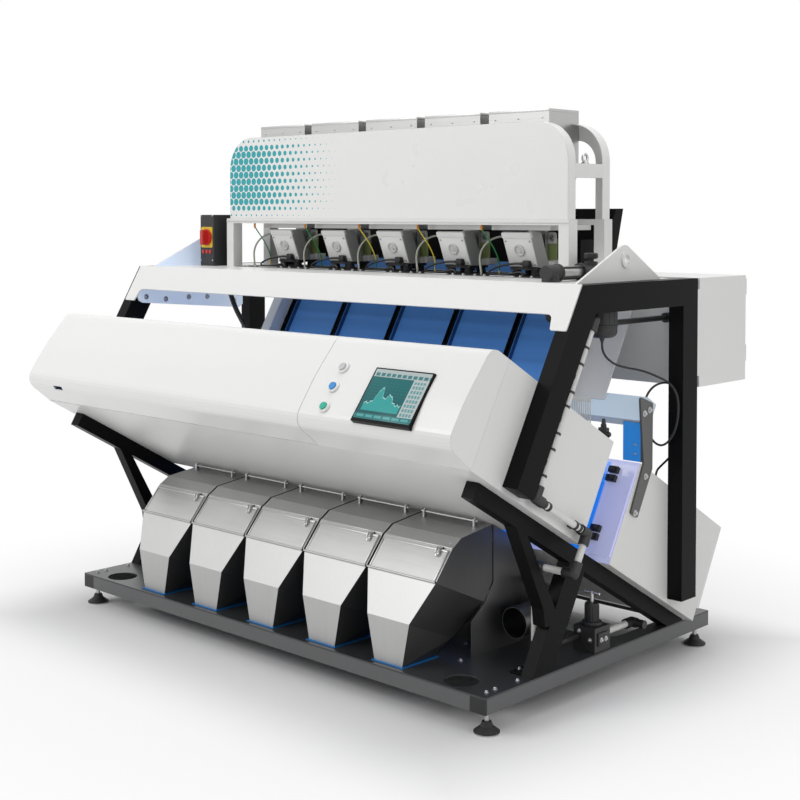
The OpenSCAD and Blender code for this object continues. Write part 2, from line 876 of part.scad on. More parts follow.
module reject_duct() {
    end = [[duct_front, base_height], [duct_rear, base_height], [duct_rear, slope_z(duct_rear) - tiny],
        [hopper_rear + 2, slope_z(hopper_rear + 2) - tiny], [hopper_rear + 2, hopper_back], hopper_heel,
        [duct_front, base_height + 125]];
    floor_plate = [duct_lip, [duct_rear, duct_low], [duct_rear, duct_low + duct_wall],
        duct_lip + [0, duct_wall]];
    side = duct_half + duct_wall;
    box_right = spigot_x + spigot_diameter / 2 + 6;
    box_low = spigot_z - spigot_diameter / 2 - 6;
    box_top = base_height + 205;
    color("gray") placed() difference() {
        union() {
            both_sides() across(duct_half, side) polygon(end);
            across(-duct_half, duct_half) polygon(floor_plate);
            block([-duct_half, duct_rear - duct_wall, duct_low],
                [duct_half, duct_rear, slope_z(duct_rear) - tiny]);
            block([side - tiny, spigot_rear, box_low], [box_right, duct_rear, box_top]);
            spigot(spigot_front, spigot_rear + 1, spigot_diameter / 2);
        }
        block([side, spigot_rear + duct_wall, box_low + duct_wall],
            [box_right - duct_wall, duct_rear - duct_wall, box_top - duct_wall]);
        block([duct_half - 1, spigot_rear + 10, base_height + 165],
            [side + 1, duct_rear - 10, base_height + 195]);
        spigot(spigot_front - 1, spigot_rear + 10, spigot_diameter / 2 - duct_wall);
    }
}

// Chutes and feeders

module crossbeam() {
    half = frame_outer - crossbeam_inset;
    top = rise_at(post_s, frame_top);
    low = top - crossbeam_face / cos(tilt);
    tab = top - crossbeam_tab / cos(tilt);
    face = [[-half, tab], [-half + crossbeam_tab_width, tab], [-half + crossbeam_tab_width + 12, low],
        [half - crossbeam_tab_width - 12, low], [half - crossbeam_tab_width, tab], [half, tab], [half, top],
        [-half, top]];
    deck_half = half_housing - lug_thickness;
    deck_low = frame_top - deck_plate;
    color("white") placed() {
        sloped() through(post_s - crossbeam_plate, post_s - tiny)
            polygon(rounded(face, [8, 8, tab_corner, tab_corner, 8, 8, 0, 0]));
        across(-deck_half, deck_half) polygon([[line_y(post_s - 2, deck_low), deck_low],
            [deck_rear, deck_low], [deck_rear, frame_top], [line_y(post_s - 2, frame_top), frame_top]]);
        block([-ribs_half, deck_rear - deck_plate, frame_top - 62], [ribs_half, deck_rear, frame_top - tiny]);
        both_sides() {
            back = chute_s + chute_sheet;
            across(ribs_half, ribs_half + cheek) polygon([on_slope(cheek_s, chute_low),
                on_slope(back, chute_low), [line_y(back, frame_top), frame_top],
                [line_y(cheek_s, frame_top), frame_top]]);
            sloped() block([ribs_half + cheek - tiny, chute_s - 5, flank_low],
                [flank_outer, chute_s - 1, flank_top]);
        }
    }
}

module chutes() {
    w = chute_width / 2;
    t = chute_sheet;
    color("royalblue") placed() sloped() for (k = [1 : chute_count])
        translate([chute_x(k), chute_s, chute_low]) linear_extrude(chute_top - chute_low)
            polygon([[-w, t], [-w, -chute_lip], [t - w, -chute_lip], [t - w, 0],
                [w - t, 0], [w - t, -chute_lip], [w, -chute_lip], [w, t]]);
}

module chute_ribs() {
    w = rib_width / 2;
    groove = 4;
    end = [[guard_side, frame_top], [deck_rear, frame_top], guard_foot, guard_head, guard_head - [45, 0],
        [guard_foot.x - 45, guard_side_top], [guard_side, guard_side_top]];
    color("black") placed() {
        sloped() for (k = [0 : chute_count])
            translate([chute_x(k) + chute_pitch / 2, 0, chute_low]) linear_extrude(chute_top - chute_low)
                polygon([[-w, rib_s], [-groove, rib_s], [-groove, rib_s + 8], [groove, rib_s + 8],
                    [groove, rib_s], [w, rib_s], [w, chute_s + chute_sheet], [-w, chute_s + chute_sheet]]);
        across(-ribs_half, ribs_half) polygon([guard_foot, guard_foot + [guard_sheet, 0],
            guard_head + [guard_sheet, 0], guard_head]);
        both_sides() across(ribs_half, ribs_half + cheek) polygon(end);
    }
}

module feeder_tray(k) {
    w = tray_width / 2;
    t = tray_sheet;
    color("darkseagreen") placed() translate([chute_x(k), 0, 0]) {
        translate([0, tray_front, tray_floor]) difference() {
            cube_size = [tray_width, tray_rear - tray_front, tray_side];
            translate([-w, 0, 0]) cube(cube_size);
            translate([-w + t, t, t]) cube(cube_size - [2 * t, 0, 0]);
        }
        block([-40, tray_post_y, drive_floor + fit], [40, tray_post_y + tray_post, tray_floor + tiny]);
    }
}

module vibrator_drives() {
    top = drive_floor + drive_height;
    rear = drive_front + drive_depth;
    angle = atan2(drive_lean, drive_height);
    socket = 20;
    outline = [[drive_front, drive_floor], [rear, drive_floor], [rear - drive_lean, top],
        [drive_front - drive_lean, top]];
    color("white") placed() for (k = [1 : chute_count]) translate([chute_x(k), 0, 0]) {
        across(-drive_half, drive_half) polygon(rounded(outline, [4, 4, 12, 10]));
        translate([0, drive_front - drive_lean / 2, drive_floor + drive_height / 2])
            rotate([90 + angle, 0, 0]) translate([0, 0, -6]) cylinder(r = socket, h = 12);
        translate([plug_x, drive_front - plug_reach, frame_top + plug_rise])
            cube([plug_size.x, plug_reach + 20, plug_size.z]);
    }
}

module vibrator_mounts() {
    foot_x = 44;
    color("black") placed() for (k = [1 : chute_count]) translate([chute_x(k), 0, frame_top]) {
        block([-drive_half + 6, drive_front - 6, mount_height],
            [drive_half - 6, mount_rear, mount_height + drive_plate]);
        for (x = [-foot_x, foot_x], y = [drive_front + 10, mount_rear - 18]) translate([x, y, 0])
            cylinder(r = 15, h = mount_height);
    }
}

// The narrowing lower part of a feed box, its wall moved in by t and its lower end dropped
function feed_gate(t, drop) =
    let (
        w = feed_box_width / 2 - t,
        n = gate_half - t,
        y0 = gate_front + t,
        y1 = gate_rear - t,
        y2 = feed_box_depth - t)
    [[-n, y0, -drop], [n, y0, -drop], [n, y1, -drop], [-n, y1, -drop],
     [-w, t, gate_height], [w, t, gate_height], [w, y2, gate_height], [-w, y2, gate_height]];

module feed_boxes() {
    t = box_wall;
    w = feed_box_width / 2;
    color("silver") placed() for (k = [1 : chute_count])
        translate([chute_x(k), box_front, box_floor]) difference() {
            union() {
                block([-w, 0, gate_height - tiny], [w, feed_box_depth, feed_box_height]);
                taper(feed_gate(0, 0));
            }
            block([t - w, t, gate_height - tiny], [w - t, feed_box_depth - t, feed_box_height + 1]);
            taper(feed_gate(t, 1));
        }
}

function hood_outline(t) =
    let (w = hood_half - t, z0 = hood_floor, z1 = hood_floor + hood_height - t)
    rounded([[-w, z0], [w, z0], [w, z1], [-w, z1]], [0, 0, hood_corner - t, hood_corner - t], 12);

// A hood panel with its face at y and its band reaching to y + depth
module hood_shell(y, depth) {
    back = depth > 0 ? 1 : -1;
    inner = y + back * hood_sheet;
    open = y + depth + back;
    difference() {
        through(min(y, y + depth), max(y, y + depth)) polygon(hood_outline(0));
        translate([0, 0, -tiny]) through(min(inner, open), max(inner, open))
            polygon(hood_outline(hood_sheet));
    }
}

module hood_panels() {
    color("white") placed() {
        hood_shell(hood_front + hood_face, hood_band);
        difference() {
            hood_shell(hood_rear, -hood_band);
            translate([0, 0, -1]) through(hood_rear - hood_sheet - 1, hood_rear + 1)
                polygon(hood_outline(hood_arch));
            block([-boxes_half - 8, hood_rear - hood_band - 1, hood_floor + 20],
                [boxes_half + 8, hood_rear - hood_sheet, hood_floor + hood_height + 1]);
        }
    }
}

module hood_frame() {
    inner = hood_frame_half - hood_post_width;
    beam_x = hood_half - 25;
    beam_z = hood_floor + 149;
    tie_z = beam_z + 10;
    tie = 30;
    color("whitesmoke") placed() {
        block([-hood_frame_half, hood_front, hood_rail],
            [hood_frame_half, hood_front + hood_post, hood_floor]);
        both_sides() {
            for (y = [hood_front, hood_rear - hood_post])
                block([inner, y, frame_top], [hood_frame_half, y + hood_post, hood_rail + tiny]);
            block([boxes_half + 12, hood_rear - hood_post, hood_rail],
                [hood_frame_half, hood_rear, hood_floor]);
            block([beam_x, hood_front + hood_face + hood_band, beam_z],
                [hood_half, hood_rear - hood_band, beam_z + 50]);
        }
        block([-beam_x, box_front - 20, tie_z], [beam_x, box_front, tie_z + tie]);
        block([-beam_x, box_front + feed_box_depth, tie_z], [beam_x, hood_rear - hood_sheet, tie_z + tie]);
    }
}

// Cabinet and isolator

module control_cabinet() {
    t = sheet;
    color("white") placed() {
        difference() {
            block([cabinet_left, cabinet_front, cabinet_low], [frame_outer, cabinet_rear, frame_top]);
            block([cabinet_left + t, cabinet_front + t, cabinet_low + t],
                [frame_outer - t, cabinet_rear + 1, frame_top - t]);
        }
        block([cabinet_left + 40, cabinet_front + t - tiny, cabinet_low + 30],
            [frame_outer - 40, cabinet_front + 20, frame_top - 30]);
        block([half_housing, rear_post_back, cabinet_low + 40],
            [frame_outer, cabinet_front + tiny, frame_top - 40]);
        translate([frame_outer - cabinet_hinge, cabinet_rear + cabinet_hinge, 0]) cabinet_pins();
    }
}

cabinet_hinge_z = [70, 320];
cabinet_barrel = 30;
cabinet_barrel_radius = cabinet_hinge - fit;

module cabinet_pins() {
    for (z = cabinet_hinge_z) translate([0, 0, cabinet_low + z]) {
        cylinder(r = cabinet_barrel_radius, h = cabinet_barrel);
        cylinder(r = hinge_pin, h = 2 * cabinet_barrel);
        block([-cabinet_barrel_radius, -cabinet_hinge, 0], [cabinet_barrel_radius, 0, cabinet_barrel]);
    }
}

module cabinet_door() {
    y0 = cabinet_rear + fit;
    y1 = cabinet_rear + cabinet_door_sheet;
    barrel_x = frame_outer - cabinet_hinge;
    edge = barrel_x - cabinet_hinge - 2;
    louvre_x0 = cabinet_left + 200;
    louvre_x1 = frame_outer - 200;
    slat = (louvre_high - louvre_low - 16) / louvre_count;
    color("white") placed() {
        difference() {
            union() {
                block([cabinet_left + 1, y0, cabinet_low + 1], [edge, y1, frame_top - 1]);
                for (z = cabinet_hinge_z) translate([0, 0, cabinet_low + z + cabinet_barrel + fit]) {
                    translate([barrel_x, cabinet_rear + cabinet_hinge, 0])
                        cylinder(r = cabinet_barrel_radius, h = cabinet_barrel);
                    block([edge - 1, y0 + 1, 0], [barrel_x, y1 - 1, cabinet_barrel]);
                }
            }
            for (z = cabinet_hinge_z) translate([barrel_x, cabinet_rear + cabinet_hinge, cabinet_low + z])
                cylinder(r = hinge_pin + bore_play, h = 3 * cabinet_barrel);
        }
        difference() {
            block([louvre_x0, y1 - tiny, louvre_low], [louvre_x1, y1 + louvre_depth, louvre_high]);
            for (i = [0 : louvre_count - 1])
                block([louvre_x0 - 1, y1 + 8, louvre_low + 8 + i * slat + slat * 0.3],
                    [louvre_x1 + 1, y1 + louvre_depth - 5, louvre_low + 8 + (i + 1) * slat]);
        }
    }
}

module isolator_box() {
    size = isolator_size;
    color("black") placed() translate([isolator_x, isolator_y, frame_top])
        linear_extrude(size.z)
            polygon(rounded([[0, 0], [size.x, 0], [size.x, size.y], [0, size.y]], [5, 5, 5, 5], 3));
}

handle_centre = [isolator_x + isolator_size.x / 2, isolator_y, frame_top + handle_rise];

module isolator_handle() {
    grip = [18, 24, 66];
    base = 8;
    color("red") placed() translate(handle_centre) {
        rod([0, -fit, 0], [0, -fit - base, 0], handle_radius);
        translate([0, -fit - base + tiny, 0]) through(-grip.y, 0)
            polygon(rounded([[-grip.x / 2, -grip.z / 2], [grip.x / 2, -grip.z / 2], [grip.x / 2, grip.z / 2],
                [-grip.x / 2, grip.z / 2]], [7, 7, 7, 7]));
    }
}

// Air system

function air_point(s, d) = let (p = on_slope(s, d)) [air_x, p.x, p.y];
air_top = air_point(air_s, rise_at(air_s, filter_port_z));
air_corner = air_point(air_s, air_run_d);
air_turn = air_point(air_turn_s, air_run_d);
air_drop = air_point(air_turn_s, air_drop_d);
air_in = [air_inner_x, air_drop.y, air_drop.z];
air_foot = [air_inner_x, air_drop.y, air_low_z];
air_side = [filter_x, air_top.y, air_top.z];
valve_foot = [valve_x, air_top.y, air_top.z];
valve_head = [valve_x, air_top.y, frame_top + valve_rise];
valve_tee = valve_head - [0, 0, sleeve_radius];
air_runs = [[air_side, air_top], [air_top, air_corner], [air_corner, air_turn], [air_turn, air_drop],
    [air_drop, air_in], [air_in, air_foot]];
sleeve_length = 40;
filter_boss = 60;
rest_pipe_z = base_height + 42;
rest_pipe_end = 840;
outlet_turn = [regulator_x, rest_pipe_end + sleeve_length, rest_pipe_z];
outlet_length = 34;
outlet_radius = 15;
outlet_step = sleeve_radius + 4;

module air_filter() {
    bottom = 22;
    r = filter_radius;
    top = frame_top - deck_plate;
    color("black") placed() {
        translate([filter_x, filter_y, 0]) rotate_extrude()
            polygon(concat([[0, filter_low]], rounded([[r, filter_low], [r, top], [0, top], [0, filter_low]],
                [bottom, 0, 0, 0])));
        for (port = [[-filter_boss, filter_port_z], [filter_boss, filter_out_z]])
            rod([filter_x, filter_y, port.y], [filter_x, filter_y + port.x, port.y], sleeve_radius);
    }
}

// A run of pipe between two corners, cut back where the sleeves hold it
module air_run(run) {
    u = unit(run[1] - run[0]);
    rod(run[0] + u * sleeve_length, run[1] - u * sleeve_length, pipe_radius);
}

module air_pipes() {
    color("white") placed() {
        for (run = air_runs) if (norm(run[1] - run[0]) > 2 * sleeve_length + 1) air_run(run);
        rod([regulator_x, regulator_low.y + regulator_size.y, rest_pipe_z],
            [regulator_x, rest_pipe_end, rest_pipe_z], pipe_radius);
    }
}

// An elbow: two sleeves that meet in a ball
module elbow(a, b, c) {
    translate(b) sphere(r = sleeve_radius);
    rod(b, b + unit(a - b) * sleeve_length, sleeve_radius);
    rod(b, b + unit(c - b) * sleeve_length, sleeve_radius);
}

module pipe_fittings() {
    corners = [[filter_x, filter_y - filter_boss, filter_port_z], air_side, air_top, air_corner, air_turn,
        air_drop, air_in, air_foot, [air_inner_x, regulator_low.y, air_low_z]];
    cable = 10;
    clips = [150, 300, 450];
    run_clips = [250, 440];
    color("black") placed() {
        for (i = [1 : len(corners) - 2]) elbow(corners[i - 1], corners[i], corners[i + 1]);
        rod(air_side, corners[0], pipe_radius);
        rod(air_foot, corners[len(corners) - 1], pipe_radius);
        rod([filter_x, filter_y + filter_boss, filter_out_z], [filter_x, cabinet_front, filter_out_z], cable);
        rod([filter_x, cabinet_front - 24, filter_out_z],
            [filter_x, cabinet_front, filter_out_z], sleeve_radius);
        translate(outlet_turn) sphere(r = sleeve_radius);
        rod([regulator_x, rest_pipe_end, rest_pipe_z], outlet_turn, sleeve_radius);
        rod(outlet_turn, outlet_turn + [outlet_step, 0, 0], sleeve_radius);
        rod(outlet_turn, outlet_turn + [outlet_step + outlet_length, 0, 0], outlet_radius);
        rod(valve_foot, [valve_x, air_top.y, frame_top - deck_plate], pipe_radius);
        elbow(valve_head, valve_foot, valve_foot + [0, sleeve_length, 0]);
        rod(valve_head, [valve_x, air_top.y, frame_top], sleeve_radius);
        rod(valve_tee, [valve_x, tap_y, valve_tee.z], pipe_radius);
        translate([valve_x, tap_y, frame_top]) cylinder(r = 24, h = tap_height);
        sloped() {
            for (d = clips)
                block([air_x - 9, post_s + post_depth, d - 8], [air_x + 9, air_s - pipe_radius, d + 8]);
            for (s = run_clips)
                block([half_housing, s - 10, air_run_d - 9], [air_x - pipe_radius, s + 10, air_run_d + 9]);
        }
    }
}

module regulator() {
    low = regulator_low;
    color("black") placed() {
        block(low, low + regulator_size);
        translate([regulator_x, regulator_y, low.z + regulator_size.z]) {
            cylinder(r = 34, h = 12);
            cylinder(r = 24, h = regulator_neck);
        }
    }
}

module regulator_handle() {
    stem = 40;
    bar = 32;
    z0 = regulator_low.z + regulator_size.z + regulator_neck + fit;
    color("silver") placed() translate([regulator_x, regulator_y, z0]) {
        cylinder(r = 6, h = stem);
        translate([0, 0, stem - 5]) rod_x(-bar, bar, 4.5);
    }
}

// Cables

// Points by hand, from a cable's exit to its far end, with heights from the upper frame's top
sensor_route = [[1080, 645, -195], [1080, 645, -212], [1080, 647, -232], [1081, 658, -254],
    [1083, 684, -276], [1086, 726, -296], [1092, 780, -310], [1102, 834, -321], [1116, 878, -334],
    [1136, 910, -350], [1160, 930, -366], [1183, 938, -388], [1198, 941, -424], [1200, 942, -474],
    [1193, 942, -520], [1178, 942, -558], [1156, 940, -586], [1132, 938, -598], [1106, 936, -590],
    [1084, 934, -562], [1070, 932, -522], [1065, 930, -478], [1070, 932, -436], [1084, 940, -404],
    [1102, 956, -384], [1120, 984, -378], [1130, 1018, -390], [1132, 1050, -420], [1130, 1072, -462],
    [1128, 1082, -512], [1126, 1082, -562], [1122, 1070, -608], [1116, 1046, -640], [1109, 1014, -664],
    [1104, 986, -680], [1101, 964, -694], [1100, 955, -711], [1100, 954, -721], [1100, 954, -733]];
hose_route = [[-822, 560, -5], [-822, 560, -40], [-819, 560, -75], [-812, 560, -108], [-797, 560, -142],
    [-770, 560, -186], [-738, 560, -225], [-708, 560, -262], [-686, 560, -304], [-674, 560, -350],
    [-670, 560, -400], [-670, 560, -445], [-670, 560, -488]];
lead_route = [[-68, 750, 146], [-86, 750, 146], [-112, 743, 144], [-138, 732, 133], [-156, 720, 115],
    [-166, 708, 90], [-165, 698, 62], [-157, 692, 36], [-150, 688, 14], [-150, 688, 0]];
earth_route = [[-150, 690, 190], [-150, 690, 178], [-143, 696, 160], [-130, 708, 134], [-118, 722, 104],
    [-110, 735, 72], [-108, 745, 42], [-113, 749, 20], [-114, 750, 8], [-114, 750, 0]];
plug_route = [[14, 742, 46], [0, 742, 46], [-26, 740, 46], [-60, 733, 42], [-94, 723, 34],
    [-116, 714, 24], [-124, 704, 14], [-110, 695, 7], [-80, 690, 5], [-44, 688, 6], [-8, 690, 10],
    [18, 692, 15], [34, 694, 16], [42, 694, 8], [42, 694, 0]];
sensor_radius = 4;
hose_radius = 11;
lead_radius = 4;
earth_radius = 2.5;
plug_size = [24, 18, 20];
plug_x = 14;
plug_reach = 29;
plug_rise = 36;
sensor_end = sensor_route[len(sensor_route) - 1] + [0, 0, frame_top];
hose_end = hose_route[len(hose_route) - 1] + [0, 0, frame_top];

function tangent(p, i) = unit(p[min(i + 1, len(p) - 1)] - p[max(i - 1, 0)]);
function square_to(n, t) = unit(n - (n * t) * t);
function carried(p, i, n) =
    i == len(p) ? [] : let (m = square_to(n, tangent(p, i))) concat([m], carried(p, i + 1, m));

module cord(p, r, sides) {
    n = carried(p, 0, [0.36, 0.48, 0.8]);
    last = len(p) - 1;
    points = [for (i = [0 : last]) let (t = tangent(p, i), b = cross(t, n[i]))
        for (k = [0 : sides - 1]) p[i] + r * (cos(360 * k / sides) * n[i] + sin(360 * k / sides) * b)];
    walls = [for (i = [0 : last - 1], k = [0 : sides - 1])
        let (m = (k + 1) % sides)
        [i * sides + k, (i + 1) * sides + k, (i + 1) * sides + m, i * sides + m]];
    polyhedron(points, concat([[for (k = [0 : sides - 1]) k]], walls,
        [[for (k = [0 : sides - 1]) last * sides + sides - 1 - k]]));
}

module sensor_cable() {
    color("black") placed() translate([0, 0, frame_top]) cord(sensor_route, sensor_radius, 8);
}

module air_hose() {
    color("black") placed() translate([0, 0, frame_top]) cord(hose_route, hose_radius, 10);
}

module drive_leads() {
    color("lightgray") placed() for (k = [1 : chute_count]) translate([chute_x(k), 0, frame_top]) {
        cord(lead_route, lead_radius, 8);
        cord(earth_route, earth_radius, 8);
        cord(plug_route, lead_radius, 8);
    }
}

base_frame();
base_deck();
rail_end_caps();
levelling_feet();
foot_studs();
lower_frames();
front_housing();
front_cover();
control_panel();
touch_screen();
button_grey();
button_blue();
button_green();
camera_modules();
viewing_windows();
rear_housing();
rear_door();
light_beam();
beam_arms();
ejector_bank();
for (k = [1 : chute_count]) outlet_hopper(k);
for (k = [1 : chute_count]) hopper_lid(k);
hopper_gaskets();
hang_rods();
reject_duct();
chutes();
chute_ribs();
crossbeam();
for (k = [1 : chute_count]) feeder_tray(k);
vibrator_drives();
vibrator_mounts();
feed_boxes();
hood_panels();
hood_frame();
upper_frames();
lifting_lugs();
control_cabinet();
cabinet_door();
isolator_box();
isolator_handle();
air_filter();
air_pipes();
pipe_fittings();
regulator();
regulator_handle();
sensor_cable();
air_hose();
drive_leads();
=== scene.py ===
"""Studio scene of the optical colour sorter: finishes, small parts, cables, light and camera."""

import logging
import math
from collections.abc import Iterable, Sequence
from dataclasses import dataclass
from enum import Enum
from itertools import product

import bmesh
import bpy
from mathutils import Matrix, Vector


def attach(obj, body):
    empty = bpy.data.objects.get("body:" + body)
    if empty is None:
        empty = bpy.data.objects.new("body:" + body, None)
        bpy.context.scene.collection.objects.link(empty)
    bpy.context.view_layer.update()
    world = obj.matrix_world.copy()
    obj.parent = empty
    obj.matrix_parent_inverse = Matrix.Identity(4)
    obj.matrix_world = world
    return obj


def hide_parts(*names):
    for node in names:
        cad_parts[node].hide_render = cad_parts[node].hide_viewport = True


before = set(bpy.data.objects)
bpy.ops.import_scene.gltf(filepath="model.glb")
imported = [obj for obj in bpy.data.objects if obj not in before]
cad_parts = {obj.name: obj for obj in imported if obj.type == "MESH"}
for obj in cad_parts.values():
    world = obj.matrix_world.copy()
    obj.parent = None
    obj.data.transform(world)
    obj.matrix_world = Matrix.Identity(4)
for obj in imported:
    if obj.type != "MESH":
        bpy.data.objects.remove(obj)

LOG = logging.getLogger("sorter")

Point = Sequence[float]
Pair = tuple[float, float]
Triple = tuple[float, float, float]
Profile = tuple[Pair, ...]
MM = 0.001
Y_MIDDLE = 598.268
BASE_TOP = 128.0
FRAME_TOP = 1410.0
CHUTES = (-650.0, -325.0, 0.0, 325.0, 650.0)
MACHINE = "machine"
SIDES = {-1: "left", 1: "right"}
SOLID_CREASE = math.radians(34)
PIECE_CREASE = math.radians(38)
UNLIT = (0.0, 0.0, 0.0)
WHITE_LIGHT = (1.0, 1.0, 1.0, 1.0)


def at(x: float, y: float, z: float) -> Vector:
    """Turn a place on the machine into the row frame.

    Args:
        x: Distance to the right of the middle, in mm.
        y: Distance behind the base's front, in mm.
        z: Height above the floor, in mm.

    Returns:
        The same place in metres.
    """
    return Vector((x, y - Y_MIDDLE, z)) * MM


def spot(x: float, y: float, z: float) -> Matrix:
    """Give an upright frame at a place on the machine, in metres."""
    return Matrix.Translation(at(x, y, z))


def placed(name: str, data: bpy.types.ID) -> bpy.types.Object:
    """Put new data into the scene.

    Args:
        name: The object's name.
        data: Its mesh, curve, lamp or camera.

    Returns:
        The new object.
    """
    item = bpy.data.objects.new(name, data)
    bpy.context.scene.collection.objects.link(item)
    LOG.info("placed %s", name)
    return item


def spread(count: int, radius: float, start: float = 0.0) -> list[Pair]:
    """Spread points evenly over a circle round the origin.

    Args:
        count: The number of points.
        radius: The circle's radius.
        start: The first point's angle, in radians.

    Returns:
        The points.
    """
    angles = (start + 2 * math.pi * k / count for k in range(count))
    return [(radius * math.cos(a), radius * math.sin(a)) for a in angles]


def rounded(width: float, height: float, radius: float, steps: int = 5) -> list[Pair]:
    """Draw a rectangle round the origin, with round corners.

    Args:
        width: The size across.
        height: The size upwards.
        radius: The corners' radius.
        steps: The number of edges in each corner.

    Returns:
        The outline's points.
    """
    outline = []
    for k, (sx, sy) in enumerate(((1, 1), (-1, 1), (-1, -1), (1, -1))):
        for i in range(steps + 1):
            a = math.radians(90 * (k + i / steps))
            across = sx * (width / 2 - radius) + radius * math.cos(a)
            outline.append((across, sy * (height / 2 - radius) + radius * math.sin(a)))
    return outline


def moved(outline: Iterable[Point], dx: float, dy: float) -> list[Pair]:
    """Shift an outline."""
    return [(a + dx, b + dy) for a, b in outline]


class Slope:
    """The plane that the housings lie on: s runs down to the rear, d square to it."""

    TILT = math.radians(30)
    BEAM_RUN = 1183.0
    FRONT_Y = -34.0
    FRONT_Z = BASE_TOP + BEAM_RUN * math.tan(TILT)

    @classmethod
    def frame(cls, x: float, s: float, d: float) -> Matrix:
        """Give a frame on the slope, with its Y along s and its Z along d.

        Args:
            x: Distance to the right of the middle, in mm.
            s: Distance down the slope, in mm.
            d: Distance above the slope, in mm.

        Returns:
            The frame, in metres.
        """
        y = cls.FRONT_Y + s * math.cos(cls.TILT) + d * math.sin(cls.TILT)
        z = cls.FRONT_Z - s * math.sin(cls.TILT) + d * math.cos(cls.TILT)
        return spot(x, y, z) @ Matrix.Rotation(-cls.TILT, 4, "X")

    @classmethod
    def along(cls, y: "Field", z: "Field") -> "Field":
        """Give s over a surface.

        Args:
            y: The surface's own y, in metres.
            z: The surface's own z, in metres.

        Returns:
            The distance down the slope, in metres.
        """
        start_y = (cls.FRONT_Y - Y_MIDDLE) * MM
        start = start_y * math.cos(cls.TILT) - cls.FRONT_Z * MM * math.sin(cls.TILT)
        return y * math.cos(cls.TILT) - z * math.sin(cls.TILT) - start


class Panel:
    """The control panel's slightly bowed face, on the slope."""

    LOW = 24.0
    HEIGHT = 348.0
    FOOT = -254.0
    LEAN = 46.0
    BOW = 12.0

    @classmethod
    def frame(cls, x: float, d: float) -> Matrix:
        """Give a frame on the face, with its Z pointing out.

        Args:
            x: Distance to the right of the middle, in mm.
            d: Distance above the slope, in mm.

        Returns:
            The frame, in metres.
        """
        u = (d - cls.LOW) / cls.HEIGHT
        s = cls.FOOT + cls.LEAN * u - cls.BOW * (1 - (2 * u - 1) ** 2)
        return Slope.frame(x, s, d) @ Matrix.Rotation(math.atan2(cls.HEIGHT, cls.LEAN), 4, "X")


class Axis(Enum):
    """The direction in which an outline is pulled out."""

    X = "X"
    Y = "Y"
    Z = "Z"


class Field:
    """A node's output that takes part in arithmetic."""

    def __init__(self, graph: "Graph", socket: bpy.types.NodeSocket) -> None:
        """Keep the socket and its node tree."""
        self.graph = graph
        self.socket = socket

    def _math(self, operation: str, *values: "Field | float") -> "Field":
        """Add a Math node."""
        node = self.graph.node("Math", {"operation": operation}, dict(enumerate(values)))
        return Field(self.graph, node.outputs[0])

    def __add__(self, other: "Field | float") -> "Field":
        """Add."""
        return self._math("ADD", self, other)

    def __radd__(self, other: float) -> "Field":
        """Add to a number."""
        return self._math("ADD", other, self)

    def __sub__(self, other: "Field | float") -> "Field":
        """Subtract."""
        return self._math("SUBTRACT", self, other)

    def __rsub__(self, other: float) -> "Field":
        """Subtract from a number."""
        return self._math("SUBTRACT", other, self)

    def __mul__(self, other: "Field | float") -> "Field":
        """Multiply."""
        return self._math("MULTIPLY", self, other)

    def __rmul__(self, other: float) -> "Field":
        """Multiply a number."""
        return self._math("MULTIPLY", other, self)

    def __truediv__(self, other: "Field | float") -> "Field":
        """Divide."""
        return self._math("DIVIDE", self, other)

    def __rtruediv__(self, other: float) -> "Field":
        """Divide a number."""
        return self._math("DIVIDE", other, self)

    def __pow__(self, other: "Field | float") -> "Field":
        """Raise to a power."""
        return self._math("POWER", self, other)

    def __abs__(self) -> "Field":
        """Drop the sign."""
        return self._math("ABSOLUTE", self)

    def __gt__(self, other: "Field | float") -> "Field":
        """Give 1 where this is larger."""
        return self._math("GREATER_THAN", self, other)

    def __lt__(self, other: "Field | float") -> "Field":
        """Give 1 where this is smaller."""
        return self._math("LESS_THAN", self, other)

    def floor(self) -> "Field":
        """Round down."""
        return self._math("FLOOR", self)

    def fract(self) -> "Field":
        """Keep the part after the point."""
        return self._math("FRACT", self)

    def sin(self) -> "Field":
        """Take the sine."""
        return self._math("SINE", self)

    def exp(self) -> "Field":
        """Raise e to this power."""
        return self._math("EXPONENT", self)

    def sqrt(self) -> "Field":
        """Take the square root."""
        return self._math("SQRT", self)

    def maximum(self, other: "Field | float") -> "Field":
        """Take the larger of the two."""
        return self._math("MAXIMUM", self, other)

    def between(self, low: float, high: float) -> "Field":
        """Give 1 from low to high and 0 elsewhere."""
        return (self > low) * (self < high)

    def smooth(self, low: float, high: float) -> "Field":
        """Rise smoothly from 0 to 1.

        Args:
            low: Where the rise starts.
            high: Where it ends.

        Returns:
            The share.
        """
        inputs = {"Value": self, "From Min": low, "From Max": high}
        node = self.graph.node("MapRange", {"interpolation_type": "SMOOTHSTEP"}, inputs)
        return Field(self.graph, node.outputs[0])


Value = Field | float | tuple | bpy.types.NodeSocket


